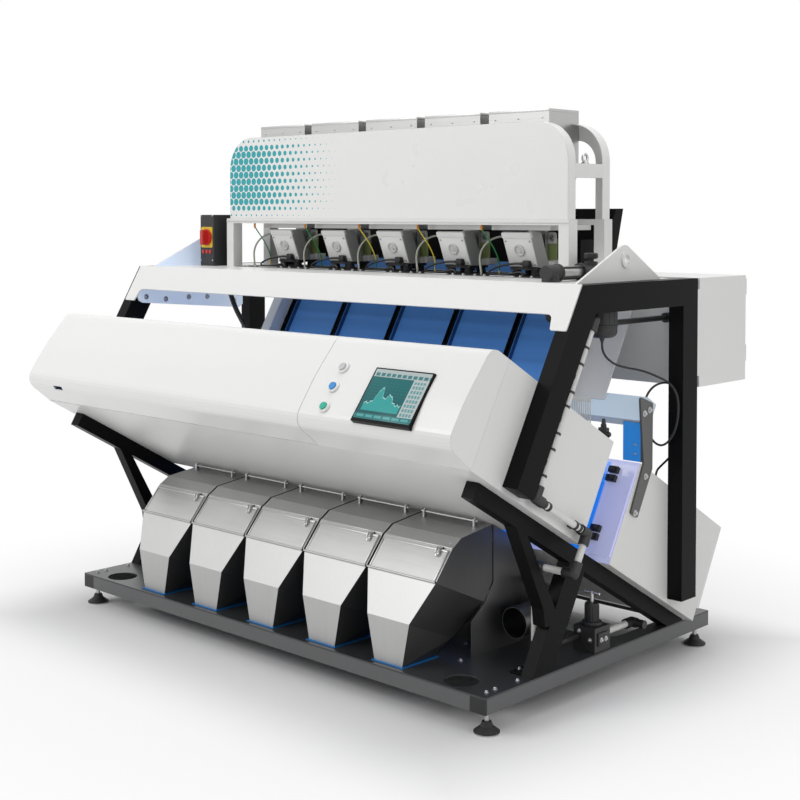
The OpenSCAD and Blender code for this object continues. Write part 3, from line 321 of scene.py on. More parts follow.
class Graph:
    """A material's node tree, with one way to add a node."""

    def __init__(self, tree: bpy.types.NodeTree) -> None:
        """Keep the tree."""
        self.tree = tree

    def wire(self, node: bpy.types.Node, inputs: dict[str | int, Value]) -> None:
        """Set or link a node's sockets.

        Args:
            node: The node.
            inputs: Values or links, by the socket's name or number.
        """
        for name, value in inputs.items():
            if isinstance(value, Field):
                value = value.socket
            if isinstance(value, bpy.types.NodeSocket):
                self.tree.links.new(value, node.inputs[name])
            else:
                node.inputs[name].default_value = value

    def node(self, kind: str, settings: dict | None = None, inputs: dict | None = None) -> bpy.types.Node:
        """Add a node.

        Args:
            kind: The type's name without its prefix.
            settings: Properties of the node.
            inputs: Values or links of its sockets, by name or number.

        Returns:
            The new node.
        """
        node = self.tree.nodes.new("ShaderNode" + kind)
        for name, value in (settings or {}).items():
            setattr(node, name, value)
        self.wire(node, inputs or {})
        return node

    def parts(self, vector: bpy.types.NodeSocket) -> tuple[Field, ...]:
        """Split a vector into its three parts."""
        split = self.node("SeparateXYZ", None, {0: vector})
        return tuple(Field(self, output) for output in split.outputs)

    def place(self) -> tuple[Field, ...]:
        """Give the three object coordinates, in metres."""
        return self.parts(self.node("TexCoord").outputs["Object"])

    def facing(self, towards: Triple) -> Field:
        """Give 1 on faces that look in a direction, and -1 on those that look away."""
        normal = self.parts(self.node("NewGeometry").outputs["Normal"])
        return sum(part * share for part, share in zip(normal, towards))

    def noise(self, scale: float, detail: float = 2.0, stretch: Triple = (1.0, 1.0, 1.0)) -> Field:
        """Give noise over the object's own space.

        Args:
            scale: The number of grains in a metre.
            detail: The number of finer layers.
            stretch: Further scales along the three axes.

        Returns:
            The noise, from 0 to 1.
        """
        space = self.node("TexCoord").outputs["Object"]
        mapping = self.node("Mapping", None, {"Vector": space, "Scale": stretch})
        inputs = {"Vector": mapping.outputs[0], "Scale": scale, "Detail": detail}
        return Field(self, self.node("TexNoise", None, inputs).outputs[0])

    def mix(self, factor: Value, first: Value, second: Value) -> bpy.types.NodeSocket:
        """Mix two colours.

        Args:
            factor: The second colour's share.
            first: A colour of three numbers, or a socket.
            second: The other one.

        Returns:
            The mixed colour's socket.
        """
        colours = [(*c, 1.0) if isinstance(c, tuple) else c for c in (first, second)]
        node = self.node("Mix", {"data_type": "RGBA"}, {0: factor, 6: colours[0], 7: colours[1]})
        return node.outputs[2]

    def bump(self, height: Field, strength: float, depth: float, edge: float = 0.0) -> bpy.types.NodeSocket:
        """Make a surface bumpy.

        Args:
            height: The bumps.
            strength: Their share.
            depth: Their full height, in metres.
            edge: The radius that sharp edges are rounded to, in metres.

        Returns:
            The normal's socket.
        """
        inputs = {"Height": height, "Strength": strength, "Distance": depth}
        if edge:
            inputs["Normal"] = self.node("Bevel", {"samples": 4}, {"Radius": edge}).outputs[0]
        return self.node("Bump", None, inputs).outputs[0]


@dataclass(frozen=True)
class Finish:
    """What every finish has: a name, a colour, the record's slot and one shader."""

    name: str
    colour: Triple
    roughness: float = 0.4
    slot: str = ""

    def material(self) -> bpy.types.Material:
        """Make the material, or find the one made before.

        Returns:
            The material.
        """
        known = bpy.data.materials.get(self.name)
        if known:
            return known
        material = bpy.data.materials.new(self.name)
        material.use_nodes = True
        graph = Graph(material.node_tree)
        shader = material.node_tree.nodes["Principled BSDF"]
        graph.wire(shader, {"Roughness": self.roughness, "Base Color": (*self.colour, 1.0)})
        self.shade(graph, shader)
        material.diffuse_color = (*self.colour, 1.0)
        return material

    def tone(self, share: float) -> Triple:
        """Give the colour, lighter or darker."""
        return tuple(min(1.0, c * share) for c in self.colour)

    def shade(self, graph: Graph, shader: bpy.types.Node) -> None:
        """Connect the shader's inputs.

        Args:
            graph: The material's node tree.
            shader: Its surface shader.
        """
        raise NotImplementedError


@dataclass(frozen=True)
class Paint(Finish):
    """Powder coat: a faint orange peel, soft edges and a little unevenness."""

    peel: float = 0.06
    edge: float = 0.0016
    coat: float = 0.15
    shine: float = 0.5

    def colour_field(self, graph: Graph) -> Value:
        """Give the paint's colour over the surface."""
        return graph.mix(graph.noise(2.0), self.tone(0.985), self.tone(1.01))

    def shade(self, graph: Graph, shader: bpy.types.Node) -> None:
        """Lay the paint on.

        Args:
            graph: The material's node tree.
            shader: Its surface shader.
        """
        graph.wire(shader, {
            "Base Color": self.colour_field(graph),
            "Roughness": self.roughness * (0.94 + 0.12 * graph.noise(9.0)),
            "Normal": graph.bump(graph.noise(520.0), self.peel, 0.0006, self.edge),
            "Specular IOR Level": self.shine,
            "Coat Weight": self.coat,
            "Coat Roughness": 0.25,
        })


@dataclass(frozen=True)
class HoodPaint(Paint):
    """White paint with a plain field of teal dots that fades to one side."""

    print_colour: Triple = (0.0, 0.36, 0.40)
    pitch: float = 0.034
    largest: float = 0.46
    left: float = -0.86
    right: float = -0.2
    fade: float = 0.74
    foot: float = 1.60
    head: float = 1.99
    rear: float = 0.06

    def colour_field(self, graph: Graph) -> Value:
        """Print rows of dots over the paint.

        Args:
            graph: The material's node tree.

        Returns:
            The colour's socket.
        """
        x, y, z = graph.place()
        level = z / (self.pitch * 0.866)
        u = (x / self.pitch + (level.floor() * 0.5).fract()).fract() - 0.5
        v = level.fract() - 0.5
        across = 1.0 - (x - self.left).smooth(0.0, self.fade)
        upwards = (z - self.foot).smooth(0.0, 0.10) * (self.head - z).smooth(0.0, 0.08)
        round_dot = (u * u + 0.75 * v * v).sqrt() < self.largest * across * upwards
        dot = round_dot * (x < self.right) * (y < self.rear)
        return graph.mix(dot, super().colour_field(graph), self.print_colour)


@dataclass(frozen=True)
class LitPaint(Paint):
    """Paint with painted light: faces towards one side get a painted tint and glow that stand in for the
    optics' coloured light.
    """

    glow: Triple = (0.62, 0.64, 0.90)
    towards: Triple = (0.0, -0.866, 0.5)
    span: Pair = (-2.0, 2.0)
    strength: float = 0.22

    def lit(self, graph: Graph) -> Field:
        """Give 1 on the faces that the light falls on, within a span of x in metres."""
        x, _, _ = graph.place()
        return graph.facing(self.towards).smooth(0.35, 0.75) * x.between(*self.span)

    def colour_field(self, graph: Graph) -> Value:
        """Paint the light's tint on the faces where it falls."""
        return graph.mix(self.lit(graph), super().colour_field(graph), self.glow)

    def shade(self, graph: Graph, shader: bpy.types.Node) -> None:
        """Lay the paint on and add the painted glow.

        Args:
            graph: The material's node tree.
            shader: Its surface shader.
        """
        super().shade(graph, shader)
        light = graph.mix(self.lit(graph), UNLIT, self.glow)
        graph.wire(shader, {"Emission Color": light, "Emission Strength": self.strength})


@dataclass(frozen=True)
class Brushed(Finish):
    """Brushed steel: fine streaks along one direction."""

    streak: Triple = (5.0, 260.0, 260.0)
    edge: float = 0.0008

    def colour_field(self, graph: Graph, wear: Field) -> Value:
        """Give the steel's colour from its wear."""
        return graph.mix(wear, self.tone(0.82), self.tone(1.12))

    def shade(self, graph: Graph, shader: bpy.types.Node) -> None:
        """Brush the steel.

        Args:
            graph: The material's node tree.
            shader: Its surface shader.
        """
        streak = graph.noise(1.0, 3.0, self.streak)
        cloud = graph.noise(4.0, 3.0)
        graph.wire(shader, {
            "Base Color": self.colour_field(graph, 0.6 * streak + 0.4 * cloud),
            "Roughness": self.roughness * (0.75 + 0.35 * streak + 0.25 * cloud),
            "Normal": graph.bump(streak, 0.10, 0.0003, self.edge),
            "Metallic": 1.0,
        })


@dataclass(frozen=True)
class PaintedReflectionSheet(Brushed):
    """Brushed sheet whose side faces carry a painted reflection of the dark frames beside them."""

    # colour of the painted reflection on the side faces
    side: Triple = (0.17, 0.17, 0.168)

    def colour_field(self, graph: Graph, wear: Field) -> Value:
        """Paint the dark frames' reflection on the side faces."""
        painted_reflection_mask = abs(graph.facing((1.0, 0.0, 0.0))).smooth(0.45, 0.8)
        return graph.mix(painted_reflection_mask, super().colour_field(graph, wear), self.side)


@dataclass(frozen=True)
class Moulded(Finish):
    """Moulded plastic or rubber with a fine grain."""

    grain: float = 900.0
    depth: float = 0.12
    edge: float = 0.0010
    gloss: float = 0.0

    def shade(self, graph: Graph, shader: bpy.types.Node) -> None:
        """Grain the plastic.

        Args:
            graph: The material's node tree.
            shader: Its surface shader.
        """
        grain = graph.noise(self.grain)
        graph.wire(shader, {
            "Base Color": graph.mix(graph.noise(22.0, 3.0), self.tone(0.88), self.tone(1.12)),
            "Roughness": self.roughness * (0.85 + 0.3 * grain),
            "Normal": graph.bump(grain, self.depth, 0.0003, self.edge),
            "Coat Weight": self.gloss,
        })


@dataclass(frozen=True)
class ChuteBlue(Finish):
    """Blue anodised chutes with level bands, with painted light and glow at their lower end and painted shade
    towards their upper end.
    """

    # the darker colour at the upper end is painted shade
    high: Triple = (0.014, 0.042, 0.105)
    rise: Pair = (1.02, 1.46)
    strength: float = 1.1

    def shade(self, graph: Graph, shader: bpy.types.Node) -> None:
        """Colour the chutes with painted light at their lower end and painted shade at their upper end.

        Args:
            graph: The material's node tree.
            shader: Its surface shader.
        """
        _, _, z = graph.place()
        band = graph.noise(1.0, 2.0, (0.5, 22.0, 22.0))
        streak = graph.noise(1.0, 3.0, (160.0, 4.0, 4.0))
        # painted light and shade: bright blue low down, darker towards the top
        painted_light_and_shade_ramp = graph.mix((z + 0.22 * band).smooth(*self.rise), self.colour, self.high)
        front = graph.facing((0.0, -1.0, 0.0)).smooth(0.2, 0.6)
        graph.wire(shader, {
            "Base Color": graph.mix(0.4 * band * streak, painted_light_and_shade_ramp, self.tone(1.3)),
            # painted glow on the front faces, standing in for the optics' light
            "Emission Color": graph.mix(front, UNLIT, painted_light_and_shade_ramp),
            "Emission Strength": self.strength,
            "Roughness": 0.26 + 0.14 * streak,
            "Normal": graph.bump(streak, 0.06, 0.0003),
            "Metallic": 0.2,
        })


@dataclass(frozen=True)
class Striped(Finish):
    """A sheath of two colours that spiral round it."""

    second: Triple = (0.75, 0.62, 0.05)

    def shade(self, graph: Graph, shader: bpy.types.Node) -> None:
        """Stripe the sheath.

        Args:
            graph: The material's node tree.
            shader: Its surface shader.
        """
        x, _, z = graph.place()
        band = (z * 9.0 + x * 5.0 + graph.noise(8.0) * 0.2).sin() > 0.1
        graph.wire(shader, {
            "Base Color": graph.mix(band, self.colour, self.second),
            "Roughness": self.roughness * (0.85 + 0.3 * graph.noise(300.0)),
        })


@dataclass(frozen=True)
class Pane(Finish):
    """Window glass that glows blue over the chutes and pale violet beyond them."""

    bright: Triple = (0.12, 0.48, 0.95)
    pale: Triple = (0.60, 0.62, 0.88)
    pale_share: float = 0.3
    rear_from: float = 0.65
    chutes_end: Pair = (1.032, 1.048)
    strength: float = 1.0

    def shade(self, graph: Graph, shader: bpy.types.Node) -> None:
        """Light the glass.

        Args:
            graph: The material's node tree.
            shader: Its surface shader.
        """
        x, y, z = graph.place()
        beyond = (Slope.along(y, z) > self.rear_from) * abs(x).smooth(*self.chutes_end)
        cloud = graph.noise(7.0, 2.0, (1.0, 3.0, 3.0)).smooth(0.60, 0.85)
        colour = graph.mix(beyond, graph.mix(cloud, self.colour, self.bright), self.pale)
        dim = tuple(c * self.pale_share for c in self.pale)
        graph.wire(shader, {
            "Base Color": colour,
            "Emission Color": graph.mix(beyond, colour, dim),
            "Emission Strength": self.strength,
            "Coat Weight": 0.3,
        })


@dataclass(frozen=True)
class Display(Finish):
    """A lit screen with a curve, a bar of tiles and a block of keys, drawn in millimetres."""

    dark: Triple = (0.0, 0.10, 0.11)
    ripples: Profile = ((0.9, 1.2), (0.37, 3.0))
    peaks: tuple[Triple, ...] = ((-52.0, 16.0, 58.0), (-8.0, 20.0, 34.0))
    curve_foot: float = -30.0
    strength: float = 0.75

    def curve(self, x: Field) -> Field:
        """Give the curve's height: ripples and bell-shaped peaks.

        Args:
            x: The place across the screen.

        Returns:
            The height on the screen.
        """
        ripple = sum((x * rate).sin() * size for rate, size in self.ripples)
        bells = (((x - middle) / width) ** 2.0 for middle, width, _ in self.peaks)
        return self.curve_foot + ripple + sum(p[2] * (b * -1.0).exp() for p, b in zip(self.peaks, bells))

    def shade(self, graph: Graph, shader: bpy.types.Node) -> None:
        """Draw the screen, layer on layer.

        Args:
            graph: The material's node tree.
            shader: Its surface shader.
        """
        x, y, _ = (c * 1000.0 for c in graph.place())
        curve = self.curve(x)
        plot = x.between(-106, 52) * y.between(-58, 56)
        lines = ((x / 15.8).fract() < 0.07).maximum((y / 11.4).fract() < 0.09)
        key_x = abs((x / 12.6).fract() - 0.5) < 0.36
        key_y = abs(((y + 1.0) / 16.5).fract() - 0.5) < 0.34
        layers = (
            ((y + 85.0) / 170.0, (0.0, 0.17, 0.18)),
            (plot * lines * 0.5, (0.0, 0.30, 0.30)),
            (plot * (y < curve), (0.03, 0.42, 0.40)),
            (plot * (abs(y - curve) < 1.6), (0.55, 0.90, 0.85)),
            (x.between(58, 122), (0.60, 0.66, 0.66)),
            (x.between(63, 112.9) * y.between(-66, 60) * key_x * key_y, (0.16, 0.40, 0.42)),
            (y > 66.0, (0.55, 0.62, 0.62)),
            (y.between(69.0, 81.0) * (x / 23.0).fract().between(0.12, 0.86), (0.05, 0.24, 0.26)),
            (y < -68.0, (0.02, 0.20, 0.21)),
            (y.between(-81.0, -72.0) * (x / 38.0).fract().between(0.1, 0.9), (0.10, 0.46, 0.45)),
        )
        colour = self.dark
        for mask, tint in layers:
            colour = graph.mix(mask, colour, tint)
        graph.wire(shader, {
            "Emission Color": colour,
            "Emission Strength": self.strength,
            "Specular IOR Level": 0.25,
        })


WHITE = Paint("white powder coat", (0.82, 0.82, 0.81), 0.34, "white_paint")
PANEL_WHITE = Paint(
    "white smooth paint", (0.84, 0.84, 0.83), 0.26, "white_paint", peel=0.02, edge=0.003, coat=0.3
)
HOOD_WHITE = HoodPaint("white hood paint", (0.84, 0.84, 0.83), 0.28, peel=0.02, edge=0.004, coat=0.3)
# painted light: a bluish tint and glow on the housing's faces towards the front and up
LIT_WHITE = LitPaint("white housing paint", (0.78, 0.78, 0.765), 0.34)
# painted light: a bluish tint and glow on the lugs' faces that look right, on the left side
LUG_WHITE = LitPaint(
    "white lug paint", (0.82, 0.82, 0.81), 0.34, "white_paint",
    glow=(0.62, 0.72, 0.88), towards=(1.0, 0.0, 0.0), span=(-2.0, 0.0), strength=0.34,
)
# painted light: a blue tint and glow on the arms' front faces
ARM_GREY = LitPaint(
    "arm grey paint", (0.085, 0.085, 0.083), 0.36,
    glow=(0.02, 0.20, 0.56), towards=(0.0, -1.0, 0.0), span=(-1.146, 1.146), strength=0.4,
)
# painted light: a pale blue tint and glow on the beam's faces towards the front and up
BEAM_BLUE = LitPaint("beam paint", (0.70, 0.80, 0.86), 0.36, glow=(0.66, 0.80, 0.92), strength=0.16)
PALE_GREY = Paint("pale grey paint", (0.66, 0.67, 0.66), 0.38, "white_paint")
SIDE_GREY = Paint("warm grey paint", (0.42, 0.43, 0.41), 0.45)
BLACK = Paint(
    "black powder coat", (0.007, 0.007, 0.0075), 0.36, "black_paint", peel=0.08, coat=0.0, shine=0.06
)
RAIL_GREY = Paint("rail grey paint", (0.105, 0.107, 0.110), 0.42, peel=0.10)
DECK_GREY = Paint("deck grey paint", (0.034, 0.036, 0.038), 0.34, peel=0.08)
SCREEN_FRAME = Paint("screen frame", (0.005, 0.005, 0.0055), 0.3, peel=0.02, coat=0.0, shine=0.1)
STEEL = Brushed("brushed stainless", (0.50, 0.50, 0.495), 0.36, "stainless")
# hopper sheet with a painted reflection of the dark frames on its side faces
STEEL_UPRIGHT = PaintedReflectionSheet("stainless sheet", (0.50, 0.50, 0.495), 0.44, streak=(220.0, 220.0, 4.0))
PLATED = Brushed("plated steel", (0.52, 0.52, 0.53), 0.30, "steel", streak=(60.0, 60.0, 60.0), edge=0.0003)
DUCT_STEEL = Brushed("dark steel sheet", (0.20, 0.20, 0.20), 0.36)
DARK_METAL = Brushed("dark anodised", (0.06, 0.06, 0.065), 0.42)
CHUTE = ChuteBlue("blue chute", (0.036, 0.115, 0.29), 0.3)
PLASTIC = Moulded("black plastic", (0.014, 0.014, 0.015), 0.46, "black_plastic")
RUBBER = Moulded("black rubber", (0.012, 0.012, 0.012), 0.66, "rubber", grain=600.0, depth=0.2)
GASKET = Moulded("blue gasket", (0.0, 0.16, 0.47), 0.5)
PIPE = Moulded("white pipe", (0.74, 0.74, 0.72), 0.34, depth=0.04)
RED = Moulded("red plastic", (0.52, 0.015, 0.012), 0.34, "red_plastic", depth=0.05, gloss=0.3)
YELLOW = Moulded("yellow plastic", (0.72, 0.50, 0.02), 0.42, "red_plastic", depth=0.05)
ORANGE = Moulded("orange sleeve", (0.80, 0.30, 0.01), 0.45, "red_plastic", depth=0.05)
GREEN_LEAF = Moulded("pale green laminate", (0.36, 0.44, 0.18), 0.48, "grey_paint", depth=0.10)
KEY_GREY = Moulded("grey button", (0.55, 0.56, 0.57), 0.28, depth=0.03, gloss=0.4)
KEY_BLUE = Moulded("blue button", (0.02, 0.26, 0.66), 0.26, depth=0.03, gloss=0.4)
KEY_GREEN = Moulded("green button", (0.0, 0.42, 0.29), 0.26, depth=0.03, gloss=0.4)
GREY_SHEATH = Moulded("grey sheath", (0.38, 0.39, 0.33), 0.5, "cable_grey")
BLACK_SHEATH = Moulded("black sheath", (0.012, 0.012, 0.013), 0.42, "cable_black")
EARTH_SHEATH = Striped("earth sheath", (0.015, 0.22, 0.05), 0.42, "cable_grey")
DISPLAY = Display("lit display", (0.008, 0.012, 0.012), 0.2, "screen")
BLUE_LIGHT = Pane("lit window", (0.01, 0.17, 0.66), 0.2, strength=0.7)


class Shape:
    """A mesh under construction, in millimetres."""

    def __init__(self) -> None:
        """Start with an empty mesh."""
        self.mesh = bmesh.new()

    def soften(self, edges: set[bmesh.types.BMEdge], soft: float) -> None:
        """Bevel some edges, where a width is given.

        Args:
            edges: The edges.
            soft: The bevel's width.
        """
        if soft:
            bmesh.ops.bevel(
                self.mesh, geom=list(edges), offset=soft, segments=2, profile=0.6,
                affect="EDGES", clamp_overlap=True,
            )

    def block(self, low: Point, high: Point, soft: float = 0.0) -> "Shape":
        """Add a box.

        Args:
            low: Its lowest corner.
            high: Its highest corner.
            soft: The bevel on its edges.

        Returns:
            This shape.
        """
        size = [b - a for a, b in zip(low, high)]
        middle = [(a + b) / 2 for a, b in zip(low, high)]
        matrix = Matrix.Translation(middle) @ Matrix.Diagonal((*size, 1.0))
        made = bmesh.ops.create_cube(self.mesh, size=1.0, matrix=matrix)["verts"]
        self.soften({edge for vert in made for edge in vert.link_edges}, soft)
        return self

    def turned(
        self, profile: Sequence[Point], place: Point = (0, 0, 0), axis: Point = (0, 0, 1), sides: int = 24
    ) -> "Shape":
        """Add a turned form.

        Args:
            profile: Pairs of radius and height along the axis, from one end to the other.
            place: The point that the heights count from.
            axis: The direction of the axis.
            sides: The number of facets round it.

        Returns:
            This shape.
        """
        turn = Vector((0, 0, 1)).rotation_difference(Vector(axis)).to_matrix().to_4x4()
        matrix = Matrix.Translation(place) @ turn
        rings = []
        for radius, height in profile:
            circle = spread(sides, radius) if radius > 0 else [(0.0, 0.0)]
            rings.append([self.mesh.verts.new(matrix @ Vector((u, v, height))) for u, v in circle])
        for low, high in zip(rings, rings[1:]):
            for i in range(sides):
                j = (i + 1) % sides
                corners = [low[i % len(low)], low[j % len(low)], high[j % len(high)], high[i % len(high)]]
                unique = list(dict.fromkeys(corners))
                if len(unique) > 2:
                    self.mesh.faces.new(unique)
        return self

    def plate(
        self, outline: Sequence[Point], low: float, high: float, axis: Axis, soft: float = 0.0
    ) -> "Shape":
        """Add an outline pulled out along an axis.

        Args:
            outline: Pairs (y, z) for X, (x, z) for Y and (x, y) for Z.
            low: Where it starts on the axis.
            high: Where it ends.
            axis: The direction.
            soft: The bevel on the edges of both ends.

        Returns:
            This shape.
        """

        def corner(a: float, b: float, along: float) -> Triple:
            """Give a corner's place."""
            return {Axis.X: (along, a, b), Axis.Y: (a, along, b), Axis.Z: (a, b, along)}[axis]

        first, second = ([self.mesh.verts.new(corner(a, b, end)) for a, b in outline] for end in (low, high))
        faces = [self.mesh.faces.new(first), self.mesh.faces.new(second)]
        for i in range(len(outline)):
            j = (i + 1) % len(outline)
            faces.append(self.mesh.faces.new((first[i], first[j], second[j], second[i])))
        bmesh.ops.recalc_face_normals(self.mesh, faces=faces)
        self.soften({edge for face in faces[:2] for edge in face.edges}, soft)
        return self

    def tube(self, points: Sequence[Point], radius: float, sides: int = 10) -> "Shape":
        """Add a round bar.

        Args:
            points: The line it follows.
            radius: Its radius.
            sides: The number of facets round it.

        Returns:
            This shape.
        """
        line = [Vector(p) for p in points]
        normal = Vector((0.36, 0.48, 0.8))
        rings = []
        for i, centre in enumerate(line):
            tangent = (line[min(i + 1, len(line) - 1)] - line[max(i - 1, 0)]).normalized()
            normal = (normal - normal.dot(tangent) * tangent).normalized()
            side = tangent.cross(normal)
            circle = spread(sides, radius)
            rings.append([self.mesh.verts.new(centre + u * normal + v * side) for u, v in circle])
        for low, high in zip(rings, rings[1:]):
            for i in range(sides):
                j = (i + 1) % sides
                self.mesh.faces.new((low[i], low[j], high[j], high[i]))
        self.mesh.faces.new(list(reversed(rings[0])))
        self.mesh.faces.new(rings[-1])
        return self

    def scaled(self, profile: Profile, radius: float, place: Point, axis: Point, sides: int) -> "Shape":
        """Add a turned form whose profile is given in shares of a radius."""
        return self.turned([(radius * r, radius * h) for r, h in profile], place, axis, sides)

    def bolt(self, place: Point, axis: Point, radius: float = 5.0) -> "Shape":
        """Add a hexagon bolt with its washer.

        Args:
            place: The middle of its seat.
            axis: The direction it points out.
            radius: Its head's radius.

        Returns:
            This shape.
        """
        washer = ((0, 0), (1.75, 0), (1.75, 0.25), (1.6, 0.32), (0, 0.32))
        head = ((1.0, 0.3), (1.08, 1.1), (0.9, 1.3), (0.4, 1.3), (0.36, 1.18), (0, 1.18))
        return self.scaled(washer, radius, place, axis, 20).scaled(head, radius, place, axis, 6)

    def screw(self, place: Point, axis: Point, radius: float = 4.0) -> "Shape":
        """Add a socket-head screw with a domed rim.

        Args:
            place: The middle of its seat.
            axis: The direction it points out.
            radius: Its head's radius.

        Returns:
            This shape.
        """
        head = ((1.0, 0), (1.0, 0.35), (0.82, 0.6), (0.5, 0.68), (0.46, 0.2), (0, 0.2))
        return self.scaled(head, radius, place, axis, 18)

    def made(
        self, name: str, finish: Finish, body: str = MACHINE, frame_of: Matrix | None = None
    ) -> bpy.types.Object:
        """Turn the shape into a piece of the machine.

        Args:
            name: The piece's name.
            finish: Its finish.
            body: The body it rides on.
            frame_of: The frame that the shape's millimetres are in; the machine's own by default.

        Returns:
            The new object.
        """
        bmesh.ops.recalc_face_normals(self.mesh, faces=self.mesh.faces)
        data = bpy.data.meshes.new(name)
        self.mesh.transform(Matrix.Scale(MM, 4))
        self.mesh.to_mesh(data)
        self.mesh.free()
        data.shade_smooth()
        data.set_sharp_from_angle(angle=PIECE_CREASE)
        data.materials.append(finish.material())
        piece = placed(name, data)
        piece.matrix_world = spot(0, 0, 0) if frame_of is None else frame_of
        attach(piece, body)
        return piece


@dataclass(frozen=True)
class Route:
    """A cable's points, in millimetres with heights from the upper frame's top."""

    name: str
    points: tuple[Triple, ...]
    radius: float
    finish: Finish
    node: str
    shift: float = 0.0

    def line(self) -> list[Vector]:
        """Lay a smooth line through the points.

        Returns:
            The line's points, in metres.
        """
        knots = [at(x + self.shift, y, z + FRAME_TOP) for x, y, z in self.points]
        ends = [2 * knots[0] - knots[1], *knots, 2 * knots[-1] - knots[-2]]
        line = []
        for a, b, c, d in zip(ends, ends[1:], ends[2:], ends[3:]):
            square = 2 * a - 5 * b + 4 * c - d
            cube = 3 * b - a - 3 * c + d
            for t in (0.0, 1 / 3, 2 / 3):
                line.append(0.5 * (2 * b + (c - a) * t + square * t * t + cube * t**3))
        return [*line, knots[-1]]

    def build(self) -> bpy.types.Object:
        """Returns:
            The new object.
        """
        line = self.line()
        data = bpy.data.curves.new(self.name, "CURVE")
        data.dimensions = "3D"
        data.bevel_depth = self.radius * MM
        data.bevel_resolution = 4
        data.use_fill_caps = True
        spline = data.splines.new("POLY")
        spline.points.add(len(line) - 1)
        for knot, place in zip(spline.points, line):
            knot.co = (*place, 1.0)
        data.materials.append(self.finish.material())
        piece = placed(self.name, data)
        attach(piece, MACHINE)
        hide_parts(self.node)
        length = sum((b - a).length for a, b in zip(line, line[1:]))
        return piece


SENSOR_POINTS = (
    (1080, 645, -195), (1080, 645, -212), (1080, 647, -232), (1081, 658, -254), (1083, 684, -276),
    (1086, 726, -296), (1092, 780, -310), (1102, 834, -321), (1116, 878, -334), (1136, 910, -350),
    (1160, 930, -366), (1183, 938, -388), (1198, 941, -424), (1200, 942, -474), (1193, 942, -520),
    (1178, 942, -558), (1156, 940, -586), (1132, 938, -598), (1106, 936, -590), (1084, 934, -562),
    (1070, 932, -522), (1065, 930, -478), (1070, 932, -436), (1084, 940, -404), (1102, 956, -384),
    (1120, 984, -378), (1130, 1018, -390), (1132, 1050, -420), (1130, 1072, -462), (1128, 1082, -512),
    (1126, 1082, -562), (1122, 1070, -608), (1116, 1046, -640), (1109, 1014, -664), (1104, 986, -680),
    (1101, 964, -694), (1100, 955, -711), (1100, 954, -721), (1100, 954, -733),
)
HOSE_POINTS = (
    (-822, 560, -5), (-822, 560, -40), (-819, 560, -75), (-812, 560, -108), (-797, 560, -142),
    (-770, 560, -186), (-738, 560, -225), (-708, 560, -262), (-686, 560, -304), (-674, 560, -350),
    (-670, 560, -400), (-670, 560, -445), (-670, 560, -488),
)
LEAD_POINTS = (
    (-68, 750, 146), (-86, 750, 146), (-112, 743, 144), (-138, 732, 133), (-156, 720, 115),
    (-166, 708, 90), (-165, 698, 62), (-157, 692, 36), (-150, 688, 14), (-150, 688, 0),
)
EARTH_POINTS = (
    (-150, 690, 190), (-150, 690, 178), (-143, 696, 160), (-130, 708, 134), (-118, 722, 104),
    (-110, 735, 72), (-108, 745, 42), (-113, 749, 20), (-114, 750, 8), (-114, 750, 0),
)
PLUG_POINTS = (
    (14, 742, 46), (0, 742, 46), (-26, 740, 46), (-60, 733, 42), (-94, 723, 34), (-116, 714, 24),
    (-124, 704, 14), (-110, 695, 7), (-80, 690, 5), (-44, 688, 6), (-8, 690, 10), (18, 692, 15),
    (34, 694, 16), (42, 694, 8), (42, 694, 0),
)


@dataclass(frozen=True)
class Cables:
    """All free cables and hoses."""

    def build(self) -> None:
        """Lay every cable along its route."""
        Route("sensor_lead", SENSOR_POINTS, 4.0, BLACK_SHEATH, "sensor_cable").build()
        Route("supply_hose", HOSE_POINTS, 11.0, BLACK_SHEATH, "air_hose").build()
        for k, x in enumerate(CHUTES, 1):
            Route(f"drive_lead_{k}", LEAD_POINTS, 4.0, GREY_SHEATH, "drive_leads", x).build()
            Route(f"earth_lead_{k}", EARTH_POINTS, 2.5, EARTH_SHEATH, "drive_leads", x).build()
            Route(f"plug_lead_{k}", PLUG_POINTS, 4.0, BLACK_SHEATH, "drive_leads", x).build()


@dataclass(frozen=True)
class Camera:
    """The photograph's viewpoint: millimetres, degrees, and the lens of a 36 mm sensor."""

    place: Triple = (3826.0, -3266.7, 1638.0)
    yaw: float = 43.44
    pitch: float = 1.99
    sensor: float = 36.0
    lens: float = 61.94
    shift: float = -0.172

    def build(self) -> None:
        """Make the camera the scene's own."""
        data = bpy.data.cameras.new("view")
        data.lens = self.lens
        data.sensor_width = self.sensor
        data.shift_y = self.shift
        camera = placed("view", data)
        camera.location = at(*self.place)
        camera.rotation_euler = (math.radians(90 - self.pitch), 0.0, math.radians(self.yaw))
        bpy.context.scene.camera = camera


@dataclass(frozen=True)
class Lamp:
    """One square soft lamp, in metres and watts."""

    name: str
    place: Triple
    target: Triple
    size: float
    power: float

    def build(self) -> None:
        """Hang the lamp."""
        data = bpy.data.lights.new(self.name, "AREA")
        data.size = self.size
        data.energy = self.power
        lamp = placed(self.name, data)
        lamp.location = self.place
        aim = Vector(self.target) - Vector(self.place)
        lamp.rotation_euler = aim.to_track_quat("-Z", "Y").to_euler()


